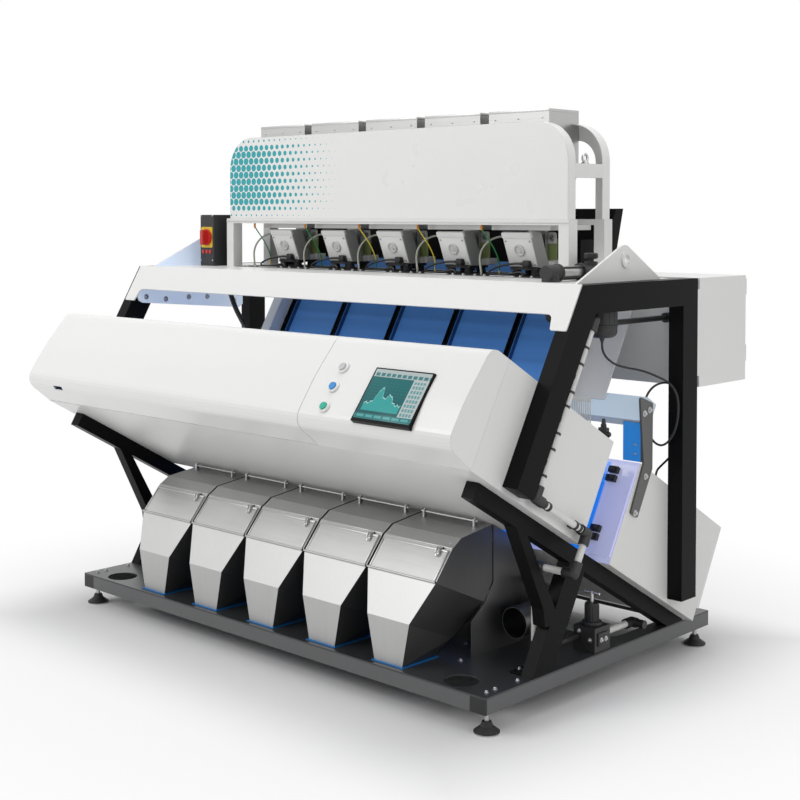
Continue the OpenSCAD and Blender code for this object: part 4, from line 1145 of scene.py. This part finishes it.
@dataclass(frozen=True)
class Studio:
    """Pale floor, white surroundings and soft lamps, in metres."""

    floor_half: float = 30.0
    floor_colour: Triple = (0.90, 0.90, 0.90)
    stand: Pair = (1.10, 0.84)
    soft_light: float = 0.44
    lamps: tuple[Lamp, ...] = (
        Lamp("key", (-3.0, -6.0, 5.0), (0.0, 0.0, 0.9), 4.0, 190.0),
        Lamp("top", (0.5, 0.0, 6.0), (0.0, 0.0, 1.0), 4.0, 110.0),
        Lamp("side", (6.5, -0.5, 3.0), (0.0, 0.2, 0.9), 3.0, 55.0),
    )

    def seen(self, graph: Graph) -> Field:
        """Tell the rays that show the surroundings from those that light the machine.

        Args:
            graph: The node tree.

        Returns:
            1 for the camera, for mirrors and for glass.
        """
        path = graph.node("LightPath")
        rays = [Field(graph, path.outputs[f"Is {kind} Ray"]) for kind in ("Camera", "Glossy", "Transmission")]
        return rays[0].maximum(rays[1]).maximum(rays[2])

    def surface(self, graph: Graph, end: str, share: Field, shaders: Sequence[bpy.types.Node]) -> None:
        """Mix two shaders into the tree's output.

        Args:
            graph: The node tree.
            end: The output node's name.
            share: The second shader's share.
            shaders: The two shaders.
        """
        first, second = (shader.outputs[0] for shader in shaders)
        mixed = graph.node("MixShader", None, {0: share, 1: first, 2: second})
        graph.wire(graph.tree.nodes[end], {"Surface": mixed.outputs[0]})

    def floor(self) -> None:
        """Lay a floor that turns into the white surroundings with distance."""
        mesh = bmesh.new()
        bmesh.ops.create_grid(mesh, x_segments=8, y_segments=8, size=self.floor_half)
        data = bpy.data.meshes.new("floor")
        mesh.to_mesh(data)
        mesh.free()
        material = bpy.data.materials.new("studio floor")
        material.use_nodes = True
        graph = Graph(material.node_tree)
        x, y, _ = graph.place()
        beside = (abs(x) / self.stand[0]).maximum(abs(y) / self.stand[1]).smooth(0.92, 1.45)
        away = (x * x + y * y).sqrt().smooth(1.3, 2.4)
        far = (0.65 * beside + 0.35 * away) * self.seen(graph)
        ground = graph.node("BsdfDiffuse", None, {"Color": (*self.floor_colour, 1.0)})
        white = graph.node("Emission", None, {"Color": WHITE_LIGHT, "Strength": 1.0})
        self.surface(graph, "Material Output", far, (ground, white))
        data.materials.append(material)
        placed("floor", data)

    def surroundings(self) -> None:
        """Show white to the camera and give soft light to the rest."""
        world = bpy.data.worlds.new("studio")
        bpy.context.scene.world = world
        world.use_nodes = True
        graph = Graph(world.node_tree)
        lights = [
            graph.node("Background", None, {"Color": WHITE_LIGHT, "Strength": strength})
            for strength in (self.soft_light, 1.0)
        ]
        self.surface(graph, "World Output", self.seen(graph), lights)

    def build(self) -> None:
        """Set up the whole studio."""
        bpy.context.scene.view_settings.view_transform = "Standard"
        self.floor()
        self.surroundings()
        for lamp in self.lamps:
            lamp.build()


NODE_FINISHES: dict[str, Finish] = {
    "base_frame": RAIL_GREY, "base_deck": DECK_GREY, "rail_end_caps": PLASTIC, "levelling_feet": RUBBER,
    "foot_studs": PLATED, "lower_frames": BLACK, "front_housing": WHITE, "front_cover": PANEL_WHITE,
    "control_panel": PANEL_WHITE, "touch_screen": SCREEN_FRAME, "button_grey": KEY_GREY,
    "button_blue": KEY_BLUE, "button_green": KEY_GREEN, "camera_modules": DARK_METAL,
    "viewing_windows": BLUE_LIGHT, "rear_housing": LIT_WHITE, "rear_door": WHITE, "light_beam": BEAM_BLUE,
    "beam_arms": ARM_GREY, "ejector_bank": DARK_METAL, "hopper_gaskets": GASKET, "hang_rods": PLATED,
    "reject_duct": DUCT_STEEL, "chutes": CHUTE, "chute_ribs": BLACK, "crossbeam": WHITE,
    "vibrator_drives": SIDE_GREY, "vibrator_mounts": RUBBER, "feed_boxes": STEEL, "hood_panels": HOOD_WHITE,
    "hood_frame": WHITE, "upper_frames": BLACK, "lifting_lugs": LUG_WHITE, "control_cabinet": WHITE,
    "cabinet_door": WHITE, "isolator_box": PLASTIC, "isolator_handle": RED, "air_filter": PLASTIC,
    "air_pipes": PIPE, "pipe_fittings": PLASTIC, "regulator": PLASTIC, "regulator_handle": PLATED,
}
CHUTE_FINISHES: dict[str, Finish] = {
    "outlet_hopper": STEEL_UPRIGHT, "hopper_lid": STEEL, "feeder_tray": STEEL,
}


@dataclass(frozen=True)
class Solids:
    """The CAD nodes and their finishes."""

    def build(self) -> None:
        """Give every CAD node its finish."""
        numbers = range(1, len(CHUTES) + 1)
        numbered = {f"{name}_{k}": finish for k in numbers for name, finish in CHUTE_FINISHES.items()}
        finishes = NODE_FINISHES | numbered
        for name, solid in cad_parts.items():
            if name not in finishes:
                continue
            solid.data.materials.clear()
            solid.data.materials.append(finishes[name].material())
            solid.data.shade_smooth()
            solid.data.set_sharp_from_angle(angle=SOLID_CREASE)


@dataclass(frozen=True)
class ControlFace:
    """The screen and the buttons' rings."""

    screen: Pair = (866.0, 152.0)
    display: Pair = (241.0, 182.0)
    display_rise: float = 3.0
    display_ends: Pair = (4.0, 4.8)
    button_x: float = 591.0
    button_heights: tuple[float, ...] = (90.0, 164.0, 238.0)
    ring: Profile = (
        (13.4, 1.0), (13.4, 4.2), (14.6, 5.6), (18.6, 5.0),
        (20.6, 3.2), (21.0, 1.0), (21.0, -2.0), (13.4, -2.0),
    )

    def build(self) -> None:
        """Add the display and the white rings."""
        glass = moved(rounded(*self.display, 3), 0, self.display_rise)
        lit = Shape().plate(glass, *self.display_ends, Axis.Z, 0.3)
        lit.made("display", DISPLAY, frame_of=Panel.frame(*self.screen))
        for k, d in enumerate(self.button_heights, 1):
            ring = Shape().turned(self.ring, sides=40)
            ring.made(f"button_ring_{k}", PANEL_WHITE, frame_of=Panel.frame(self.button_x, d))


@dataclass(frozen=True)
class HopperTrim:
    """Latches, lid edges and beads of the outlet hoppers."""

    foot: Pair = (93.0, 419.0)
    head: Pair = (174.0, 517.0)
    lid_half: float = 151.0
    rim: Pair = (3.0, 6.0)
    rim_side: Pair = (147.0, 151.5)
    bead_half: float = 157.0
    bead_screw: float = 140.0
    latch_x: float = 112.0
    bail: Profile = ((100.0, 12.0), (112.0, 15.0), (122.5, 15.0))
    bail_half: float = 6.0

    def lid(self) -> Shape:
        """Give a lid's raised rim.

        Returns:
            The rim: a strip along the top and one down each side.
        """
        low, high = self.rim
        rim = Shape().block((-self.lid_half, 112, low), (self.lid_half, 119.5, high), 0.8)
        for side in SIDES:
            left, right = sorted(side * x for x in self.rim_side)
            rim.block((left, 6, low), (right, 119, high), 0.8)
        return rim

    def latch(self) -> Shape:
        """Give a latch.

        Returns:
            The plate, the wire bail and the lever.
        """
        x = self.latch_x
        latch = Shape().block((x - 8, 96, 10.0), (x + 8, 118, 12.0), 0.8)
        near, far = ([(x + dx, y, z) for y, z in self.bail] for dx in (-self.bail_half, self.bail_half))
        latch.tube([*near, *reversed(far)], 1.4, 8)
        return latch.block((x - 4, 88, 10.2), (x + 4, 104, 14.0), 1.2)

    def build(self) -> None:
        """Add the small parts of every hopper."""
        rise = (self.head[0] - self.foot[0], self.head[1] - self.foot[1])
        length = math.hypot(*rise)
        for k, x in enumerate(CHUTES, 1):
            face = spot(x, *self.foot) @ Matrix.Rotation(math.atan2(rise[1], rise[0]), 4, "X")
            self.lid().made(f"lid_rim_{k}", STEEL, f"hopper_lid_{k}", face)
            self.latch().made(f"latch_{k}", PLATED, f"hopper_lid_{k}", face)
            fixed = Shape().block((-self.bead_half, length + 1, -1.0), (self.bead_half, length + 6, 1.6), 0.8)
            for side in SIDES:
                fixed.screw((side * self.bead_screw, length + 20, 0), (0, 0, 1), 3.0)
            fixed.made(f"hopper_bead_{k}", STEEL, MACHINE, face)


@dataclass(frozen=True)
class Feeders:
    """Front plates, sockets, plugs, springs and feet of the vibrator drives, and the deck's trim."""

    foot: Pair = (760.0, 1442.0)
    lean: float = math.atan2(53, 132)
    plate: Triple = (132.0, 112.0, 60.0)
    cap: Triple = (138.0, 24.0, 128.0)
    screw_heights: Pair = (14.0, 106.0)
    socket_height: float = 71.0
    socket: Profile = (
        (24, 2.6), (24, 7.0), (22, 9.0), (17.5, 9.0), (16.5, 6.2), (11.0, 6.2), (10.0, 8.0), (0, 8.0)
    )
    sleeve: Profile = ((7.5, 0), (7.5, 4), (6.2, 6), (5.4, 14), (4.6, 20))
    leaf: Triple = (150.0, 92.0, 1506.0)
    clamp: Triple = (150.0, 44.0, 1551.0)
    seat: Triple = (150.0, 26.0, 1455.0)
    spring_ends: Pair = (858.0, 862.0)
    clamp_front: float = 853.0
    clamp_rear: float = 905.0
    bolt_x: float = 56.0
    feet_x: Pair = (-44.0, 44.0)
    feet_y: Pair = (770.0, 846.0)
    ribs: Profile = (
        (15.4, 1), (17.4, 3), (17.4, 6), (15.6, 8), (17.2, 10), (17.2, 13), (15.6, 15), (17.0, 17), (15.4, 20)
    )
    tag: Profile = ((0, 0), (3.8, 0), (4.6, 3), (4.6, 14), (3.4, 20), (2.6, 22))
    # thickness of the dark sheet over the deck's front
    dark_sheet: float = 1.2
    deck_row: float = 652.0
    deck_bolts: tuple[float, ...] = (-150.0, -104.0, 66.0, 118.0)

    def outline(self, size: Triple, radius: float) -> list[Pair]:
        """Draw a rounded plate from its width, its height and its middle's height."""
        return moved(rounded(size[0], size[1], radius), 0, size[2])

    def front(self, k: int, x: float) -> None:
        """Dress a drive's leaning front.

        Args:
            k: The drive's number.
            x: Its middle.
        """
        face = spot(x, *self.foot) @ Matrix.Rotation(math.pi / 2 + self.lean, 4, "X")
        plate = Shape().plate(self.outline(self.plate, 3), 0.4, 3.0, Axis.Z, 0.8)
        plate.plate(self.outline(self.cap, 5), -8.0, 4.2, Axis.Z, 1.5)
        plate.made(f"drive_plate_{k}", PANEL_WHITE, frame_of=face)
        screws = Shape()
        for sx, sy in product((-self.bolt_x, self.bolt_x), self.screw_heights):
            screws.screw((sx, sy, 3.0), (0, 0, 1), 4.2)
        screws.made(f"drive_screws_{k}", PLATED, frame_of=face)
        socket = Shape().turned(self.socket, (0, self.socket_height, 0), sides=32)
        socket.made(f"drive_socket_{k}", PALE_GREY, frame_of=face)

    def plug(self, k: int, x: float) -> None:
        """Add a drive's plug.

        Args:
            k: The drive's number.
            x: Its middle.
        """
        plug = Shape().block((13, 728, 1445), (40, 758, 1468), 4.0)
        plug.turned(self.sleeve, (14, 742, 1456), (-1, 0, 0), 16)
        for rib in (17, 24, 31):
            plug.block((rib, 727, 1444.4), (rib + 3, 756, 1468.6), 0.8)
        plug.made(f"drive_plug_{k}", PLASTIC, frame_of=spot(x, 0, 0))

    def springs(self, k: int, x: float) -> None:
        """Add a drive's leaf spring, its clamp and the ribbed feet.

        Args:
            k: The drive's number.
            x: Its middle.
        """
        middle = spot(x, 0, 0)
        front, rear = self.clamp_front, self.clamp_rear
        spring = Shape().plate(self.outline(self.leaf, 6), *self.spring_ends, Axis.Y, 0.8)
        spring.made(f"leaf_spring_{k}", GREEN_LEAF, frame_of=middle)
        clamp = Shape().plate(self.outline(self.clamp, 8), front, self.spring_ends[0], Axis.Y, 1.2)
        clamp.plate(self.outline(self.seat, 4), front, rear, Axis.Y, 1.5)
        for side in SIDES:
            clamp.block((side * 55 - 11, 820, self.foot[1]), (side * 55 + 11, rear, 1464), 2.0)
        clamp.made(f"spring_clamp_{k}", WHITE, frame_of=middle)
        bolts = Shape()
        for side in SIDES:
            bolts.bolt((side * self.bolt_x, front, self.clamp[2]), (0, -1, 0), 7.0)
        bolts.made(f"clamp_bolts_{k}", PLATED, frame_of=middle)
        feet = Shape()
        for fx, fy in product(self.feet_x, self.feet_y):
            feet.turned(self.ribs, (fx, fy, FRAME_TOP), sides=20)
        feet.made(f"drive_feet_{k}", RUBBER, frame_of=middle)

    def build(self) -> None:
        """Dress all drives, the deck's front edge and the earth terminals."""
        for k, x in enumerate(CHUTES, 1):
            self.front(k, x)
            self.plug(k, x)
            self.springs(k, x)
        top = FRAME_TOP + self.dark_sheet
        # a thin dark sheet laid over the front of the deck, under the drives
        dark_sheet = Shape().plate(moved(rounded(1770, 300, 12), 0, 790), FRAME_TOP, top, Axis.Z, 0.4)
        dark_sheet.made("deck_dark_sheet", RUBBER)
        deck = Shape()
        tags = Shape()
        for x in CHUTES:
            for dx in self.deck_bolts:
                deck.bolt((x + dx, self.deck_row, top), (0, 0, 1), 4.5)
            bar = moved(rounded(118, 9, 3), x - 20, self.deck_row)
            deck.plate(bar, top, FRAME_TOP + 4.0, Axis.Z, 0.8)
            tags.turned(self.tag, (x - 150, 690, 1600), (0, 0, -1), 14)
        deck.made("deck_bolts", PLATED)
        tags.made("earth_sleeves", ORANGE)


@dataclass(frozen=True)
class IsolatorTrim:
    """The plate, marks, screws and gland of the mains isolator."""

    centre: Triple = (-1022.5, 600.0, 1537.0)
    plate: Pair = (78.0, 92.0)
    gland: Profile = ((16, -4), (16, 10), (13, 13), (9, 24), (0, 24))

    def build(self) -> None:
        """Add the isolator's small parts."""
        face = spot(*self.centre) @ Matrix.Rotation(math.pi / 2, 4, "X")
        plate = Shape().plate(rounded(*self.plate, 6), 0.0, 0.25, Axis.Z)
        plate.made("isolator_plate", YELLOW, frame_of=face)
        trim = Shape()
        for dx in (-24, 0, 24):
            trim.block((dx - 8, -72, 0.0), (dx + 8, -56, 3.0), 1.0)
        trim.made("isolator_trim", RED, frame_of=face)
        box = Shape()
        for sx, sy in product((-40, 40), (-102, 96)):
            box.screw((sx, sy, 0.0), (0, 0, 1), 4.0)
        box.turned(self.gland, (0, -107, -70), (0, -1, 0), 6)
        box.made("isolator_screws", PLATED, frame_of=face)


@dataclass(frozen=True)
class FrameTrim:
    """Bolts and foot plates of the frames, and the left lug's lower strip."""

    lug_face: float = 1140.0
    lug_bolts: tuple[float, ...] = (420.0, 530.0, 640.0, 750.0, 860.0)
    lug_bolt_height: float = 1352.0
    strip_thick: float = 6.0
    foot_plate: float = 8.0
    foot_outline: Profile = ((1005, 240), (1050, 240), (1050, 350), (1005, 350))
    foot_bolts: Profile = ((1016, 276), (1036, 276), (1016, 332), (1036, 332))
    strip: Profile = (
        (305, 1278), (312, 1262), (330, 1252), (880, 1206), (900, 1222), (900, 1338), (330, 1338), (312, 1318)
    )
    strip_bolts: Profile = ((350, 1277), (456, 1263), (584, 1267), (690, 1264), (850, 1240))
    deck_bolts: Profile = ((1067, 45), (1067, 87), (1068, 200), (803, 224), (699, 375))

    def build(self) -> None:
        """Add the frames' small parts on both sides."""
        bolts = Shape()
        plates = Shape()
        for side in SIDES:
            for y in self.lug_bolts:
                bolts.bolt((side * self.lug_face, y, self.lug_bolt_height), (-side, 0, 0), 5.5)
            for x, y in self.foot_bolts:
                bolts.bolt((side * x, y, BASE_TOP + self.foot_plate), (0, 0, 1), 5.0)
            outline = [(side * x, y) for x, y in self.foot_outline]
            plates.plate(outline, BASE_TOP, BASE_TOP + self.foot_plate, Axis.Z, 1.0)
            for x, y in self.deck_bolts:
                bolts.bolt((side * x, y, BASE_TOP), (0, 0, 1), 5.0)
        inner = self.strip_thick - self.lug_face
        strip = Shape().plate(self.strip, -self.lug_face, inner, Axis.X, 1.5)
        # the strip takes the lugs' paint with its painted bluish light
        strip.made("lug_strip", LUG_WHITE)
        for y, z in self.strip_bolts:
            bolts.bolt((inner, y, z), (1, 0, 0), 7.0)
        bolts.made("frame_bolts", PLATED)
        plates.made("foot_plates", BLACK)


@dataclass(frozen=True)
class AirTrim:
    """Bands, ribs, plugs and the deck's tap of the air system."""

    pipe: Pair = (1180.0, 188.0)
    bowl: Pair = (1080.0, 645.0)
    valve: Pair = (1050.0, 635.0)
    tap: Pair = (1000.0, 1440.0)
    band_places: tuple[float, ...] = (110.0, 200.0, 255.0, 350.0, 400.0, 500.0, 560.0)
    sleeve_places: tuple[float, ...] = (238.0, 262.0, 428.0, 452.0)
    sleeve_height: float = 35.0
    ring_heights: Triple = (1252.0, 1330.0, 1388.0)
    bowl_ribs: Pair = (1264.0, 1328.0)
    valve_ribs: Pair = (232.0, 284.0)
    valve_side: float = 1100.0
    valve_front: float = 590.0
    side_plugs: Profile = ((622, 172), (648, 172))
    front_plugs: Profile = ((1028, 196), (1074, 172))
    rod_ends: Pair = (498.0, 622.0)
    band: Profile = ((12.0, -4), (13.6, -4), (13.6, 4), (12.0, 4))
    sleeve: Profile = ((12.0, -5), (15.0, -5), (15.0, 5), (12.0, 5))
    bowl_ring: Profile = ((52, 0), (54.5, 1.5), (54.5, 8), (52, 9.5))
    bowl_gland: Profile = ((9, 0), (9, -6), (7, -9), (5, -16), (4.2, -18))
    valve_collar: Profile = ((34.2, 0), (36, 2), (36, 9), (33, 12.4), (26, 13))
    tap_foot: Profile = ((20, 0), (32, 0), (32, 8), (28, 10), (28, 34), (0, 34))
    tap_front: Profile = ((0, -30), (26, -30), (28, -26), (28, 30), (31, 32), (31, 40), (20, 40))
    tap_rear: Profile = ((20, 0), (31, 0), (31, 9), (28, 11), (28, 60), (24, 64), (20, 64))
    tap_knob: Profile = ((24, 0), (10, 0), (10, 8), (22, 10), (25, 15), (25, 27), (20, 30), (0, 30))
    tap_tube: Profile = ((12, 0), (21, 0), (22, 2), (22, 118), (21, 120), (12, 120))

    def ribs(self, shape: Shape, ring: list[Pair], heights: Pair, half: float, soft: float) -> None:
        """Stand square ribs round an upright axis.

        Args:
            shape: The shape that takes them.
            ring: The ribs' places.
            heights: Their lower and upper ends.
            half: Half their width.
            soft: The bevel on their edges.
        """
        low, high = heights
        for x, y in ring:
            shape.block((x - half, y - half, low), (x + half, y + half, high), soft)

    def pipes(self) -> None:
        """Band the pipes that run along the slope."""
        x, s = self.pipe
        bands = Shape()
        for d in self.band_places:
            bands.turned(self.band, (x, s, d), sides=20)
            bands.block((x - 10, s - 13, d - 3), (x - 4, s - 8, d + 3), 0.6)
        for run in self.sleeve_places:
            bands.turned(self.sleeve, (x, run, self.sleeve_height), (0, 1, 0), 20)
        bands.made("pipe_bands", PLASTIC, frame_of=Slope.frame(0, 0, 0))

    def filter(self) -> None:
        """Rib the filter's bowl."""
        bowl = Shape()
        for z in self.ring_heights:
            bowl.turned(self.bowl_ring, (*self.bowl, z), sides=36)
        self.ribs(bowl, moved(spread(14, 51), *self.bowl), self.bowl_ribs, 2.0, 0.8)
        bowl.turned(self.bowl_gland, (*self.bowl, 1215), sides=16)
        bowl.made("filter_ribs", PLASTIC)

    def regulator(self) -> None:
        """Rib the regulator."""
        valve = Shape()
        self.ribs(valve, moved(spread(16, 24), *self.valve), self.valve_ribs, 1.6, 0.6)
        valve.turned(self.valve_collar, (*self.valve, 215), sides=32)
        valve.block((1000, 600, 150), (1006, 670, 200), 2.0)
        valve.block((self.valve_side - 6, 606, 150), (self.valve_side, 664, 196), 2.0)
        valve.made("regulator_ribs", PLASTIC)

    def deck_tap(self) -> None:
        """Add the tap on the deck: its body, its four rods and its tube."""
        x, z = self.tap
        along = (0, 1, 0)
        tap = Shape().turned(self.tap_foot, (x, 460, FRAME_TOP), sides=28)
        tap.turned(self.tap_front, (x, 460, z), along, 28)
        tap.turned(self.tap_rear, (x, 620, z), along, 28)
        for u, v in spread(4, 25, math.pi / 4):
            tap.tube([(x + u, y, z + v) for y in self.rod_ends], 3.0, 8)
        tap.turned(self.tap_knob, (x, 690, 1474), sides=24)
        tap.made("tap_body", PLASTIC)
        tube = Shape().turned(self.tap_tube, (x, 500, z), along, 28)
        tube.made("tap_tube", STEEL)

    def build(self) -> None:
        """Add the small parts of the pipes, filter, regulator and tap."""
        self.pipes()
        self.filter()
        self.regulator()
        self.deck_tap()
        plugs = Shape()
        for y, z in self.side_plugs:
            plugs.bolt((self.valve_side, y, z), (1, 0, 0), 5.0)
        for x, z in self.front_plugs:
            plugs.bolt((x, self.valve_front, z), (0, -1, 0), 5.0)
        plugs.made("regulator_plugs", PLATED)


@dataclass(frozen=True)
class GapTrim:
    """Window clips, arm bolts, connectors and slotted brackets at the optical gap."""

    clip_x: float = 1062.0
    clip_heights: tuple[float, ...] = (82.0, 112.0, 298.0, 330.0)
    jaw: Pair = (20.0, 12.0)
    jaw_s: Pair = (703.0, 719.0)
    tongue: Pair = (9.0, 8.0)
    tongue_s: Pair = (693.0, 705.0)
    arm_bolts: Profile = ((792.0, 944.0), (824.0, 953.0), (800.0, 722.0), (736.0, 603.0))
    arm_face: float = 1158.0
    arm_front: float = 783.5
    arm_screw_x: float = 1126.0
    arm_screw_heights: Pair = (800.0, 832.0)
    bracket_x: Pair = (984.0, 1072.0)
    bracket_y: Pair = (590.0, 593.0)
    bracket_bands: Profile = ((884.0, 912.0), (996.0, 1012.0))
    bars: int = 10
    bar_width: float = 4.0
    bar_ends: Pair = (910.0, 998.0)
    flange_rear: float = 622.0
    flange_thick: float = 2.5
    joint_x: float = 1116.0
    joint_half: float = 17.0
    joint_neck: Profile = ((10, 0), (10, 10), (8, 12), (6.5, 26), (5, 30))
    joint_cap: Profile = ((0, 0), (9, 0), (9, 7), (7, 10), (0, 12))

    def clips(self, side: int) -> Shape:
        """Give the clips that hold one end of the window: jaws with narrower tongues.

        Args:
            side: -1 for the left side and 1 for the right one.

        Returns:
            The clips.
        """
        clips = Shape()
        x = side * self.clip_x
        for d in self.clip_heights:
            for (half, rise), (front, rear) in zip((self.jaw, self.tongue), (self.jaw_s, self.tongue_s)):
                clips.block((x - half, front, d - rise), (x + half, rear, d + rise), 2.5)
        return clips

    def bolts(self, side: int) -> Shape:
        """Give one arm's bolts and screws.

        Args:
            side: -1 for the left side and 1 for the right one.

        Returns:
            The bolts.
        """
        bolts = Shape()
        for y, z in self.arm_bolts:
            bolts.bolt((side * self.arm_face, y, z), (side, 0, 0), 6.5)
        for z in self.arm_screw_heights:
            bolts.screw((side * self.arm_screw_x, self.arm_front, z), (0, -1, 0), 5.0)
        return bolts

    def bracket(self, side: int) -> Shape:
        """Give one slotted sheet bracket that stands on the front housing.

        Args:
            side: -1 for the left side and 1 for the right one.

        Returns:
            The bracket.
        """
        low, high = sorted(side * x for x in self.bracket_x)
        front, rear = self.bracket_y
        sheet = Shape()
        for foot, head in self.bracket_bands:
            sheet.block((low, front, foot), (high, rear, head), 0.8)
        for k in range(self.bars):
            x = low + (high - low - self.bar_width) * k / (self.bars - 1)
            sheet.block((x, front, self.bar_ends[0]), (x + self.bar_width, rear, self.bar_ends[1]), 0.6)
        foot = self.bracket_bands[0][0]
        return sheet.block((low, front, foot), (high, self.flange_rear, foot + self.flange_thick), 0.8)

    def connector(self, side: int) -> Shape:
        """Give one connector on the front housing.

        Args:
            side: -1 for the left side and 1 for the right one.

        Returns:
            The connector.
        """
        x = side * self.joint_x
        half = self.joint_half
        joint = Shape().block((x - half, 596, 866), (x + half, 616, 912), 3.0)
        joint.turned(self.joint_neck, (x, 606, 912), sides=18)
        return joint.turned(self.joint_cap, (x + side * half, 606, 890), (side, 0, 0), 16)

    def build(self) -> None:
        """Add the small parts on both sides."""
        for side, word in SIDES.items():
            self.clips(side).made(f"window_clips_{word}", PLASTIC, frame_of=Slope.frame(0, 0, 0))
            self.bolts(side).made(f"arm_bolts_{word}", PLATED)
            self.bracket(side).made(f"slotted_bracket_{word}", PALE_GREY)
            self.connector(side).made(f"gap_connector_{word}", PLASTIC)


@dataclass(frozen=True)
class CabinetTrim:
    """Latches and glands of the control cabinet, and the rear door's grips."""

    latch_place: Pair = (440.0, 1403.0)
    latch_heights: Pair = (1110.0, 1330.0)
    gland_row: tuple[float, ...] = (520.0, 580.0, 640.0, 700.0)
    gland_place: Pair = (1180.0, 1018.0)
    latch: Profile = ((13, 0), (13, 5), (11, 7), (5, 7), (4, 4), (0, 4))
    gland: Profile = ((0, 0), (14, 0), (14, 8), (11, 10), (11, 20), (7, 24), (0, 24))
    grip_x: float = 620.0
    grip_d: float = 110.0
    grip: Profile = ((70.0, 1363.0), (70.0, 1385.0), (60.0, 1395.0))
    grip_foot: Profile = ((13, 0), (13, 3), (9, 6), (7, 8))

    def build(self) -> None:
        """Add the small parts at the rear."""
        latch = Shape()
        for z in self.latch_heights:
            latch.turned(self.latch, (*self.latch_place, z), (0, 1, 0), 24)
        latch.made("cabinet_latches", PLATED, "cabinet_door")
        glands = Shape()
        for x in self.gland_row:
            glands.turned(self.gland, (x, *self.gland_place), (0, 0, -1), 6)
        glands.made("cabinet_glands", PLASTIC)
        grips = Shape()
        for side in SIDES:
            x = side * self.grip_x
            near, far = ([(x + end * half, s, self.grip_d) for half, s in self.grip] for end in SIDES)
            grips.tube([*near, *reversed(far)], 7.0, 12)
            for foot in (near[0], far[0]):
                grips.turned(self.grip_foot, foot, (0, 1, 0), 18)
        grips.made("door_grips", PLASTIC, "rear_door", Slope.frame(0, 0, 0))


@dataclass(frozen=True)
class HoodTrim:
    """Eye bolts, the rail's step, and the feed boxes' screws and lips."""

    eye: Pair = (912.0, 774.0)
    eye_base: float = 1820.0
    eye_foot: Profile = ((0, 0), (14, 0), (14, 4), (9, 6), (8, 12))
    eye_radius: float = 14.0
    eye_rise: float = 20.0
    box_half: float = 140.0
    box_screws: Triple = (-110.0, 0.0, 110.0)
    screw_height: float = 1990.0
    lip: Pair = (2012.0, 2021.6)
    lip_rear: float = 900.0

    def build(self) -> None:
        """Add the hood's small parts."""
        eyes = Shape()
        circle = spread(20, self.eye_radius)
        for side in SIDES:
            x, y = side * self.eye[0], self.eye[1]
            eyes.turned(self.eye_foot, (x, y, self.eye_base), sides=20)
            middle = self.eye_base + self.eye_rise
            eyes.tube([(x, y + u, middle + v) for u, v in (*circle, circle[0])], 5.0, 10)
        eyes.made("hood_eyes", PLATED)
        rail = Shape().block((-936, 641.5, 1606), (936, 645, 1612), 1.2)
        rail.made("hood_rail_step", PALE_GREY)
        screws = Shape()
        lips = Shape()
        low, high = self.lip
        for x in CHUTES:
            for dx in self.box_screws:
                screws.screw((x + dx, 721, self.screw_height), (0, -1, 0), 3.6)
            lips.block((x - self.box_half, 720, low), (x + self.box_half, 722.5, high), 0.8)
            for edge in (x - self.box_half - 2.5, x + self.box_half + 0.5):
                lips.block((edge, 721.5, low), (edge + 2, self.lip_rear, high), 0.8)
        screws.made("feed_box_screws", PLATED)
        lips.made("feed_box_lips", STEEL)


def main() -> None:
    """Build every class in order."""
    logging.basicConfig(level=logging.INFO)
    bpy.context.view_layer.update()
    stage = (Camera(), Cables(), Studio(), Solids())
    trims = (ControlFace(), HopperTrim(), Feeders(), IsolatorTrim(), FrameTrim(), AirTrim(), GapTrim())
    for part in (*stage, *trims, CabinetTrim(), HoodTrim()):
        part.build()
        LOG.info("built %s", type(part).__name__)
    bpy.context.view_layer.update()


if __name__ == "__main__":
    main()
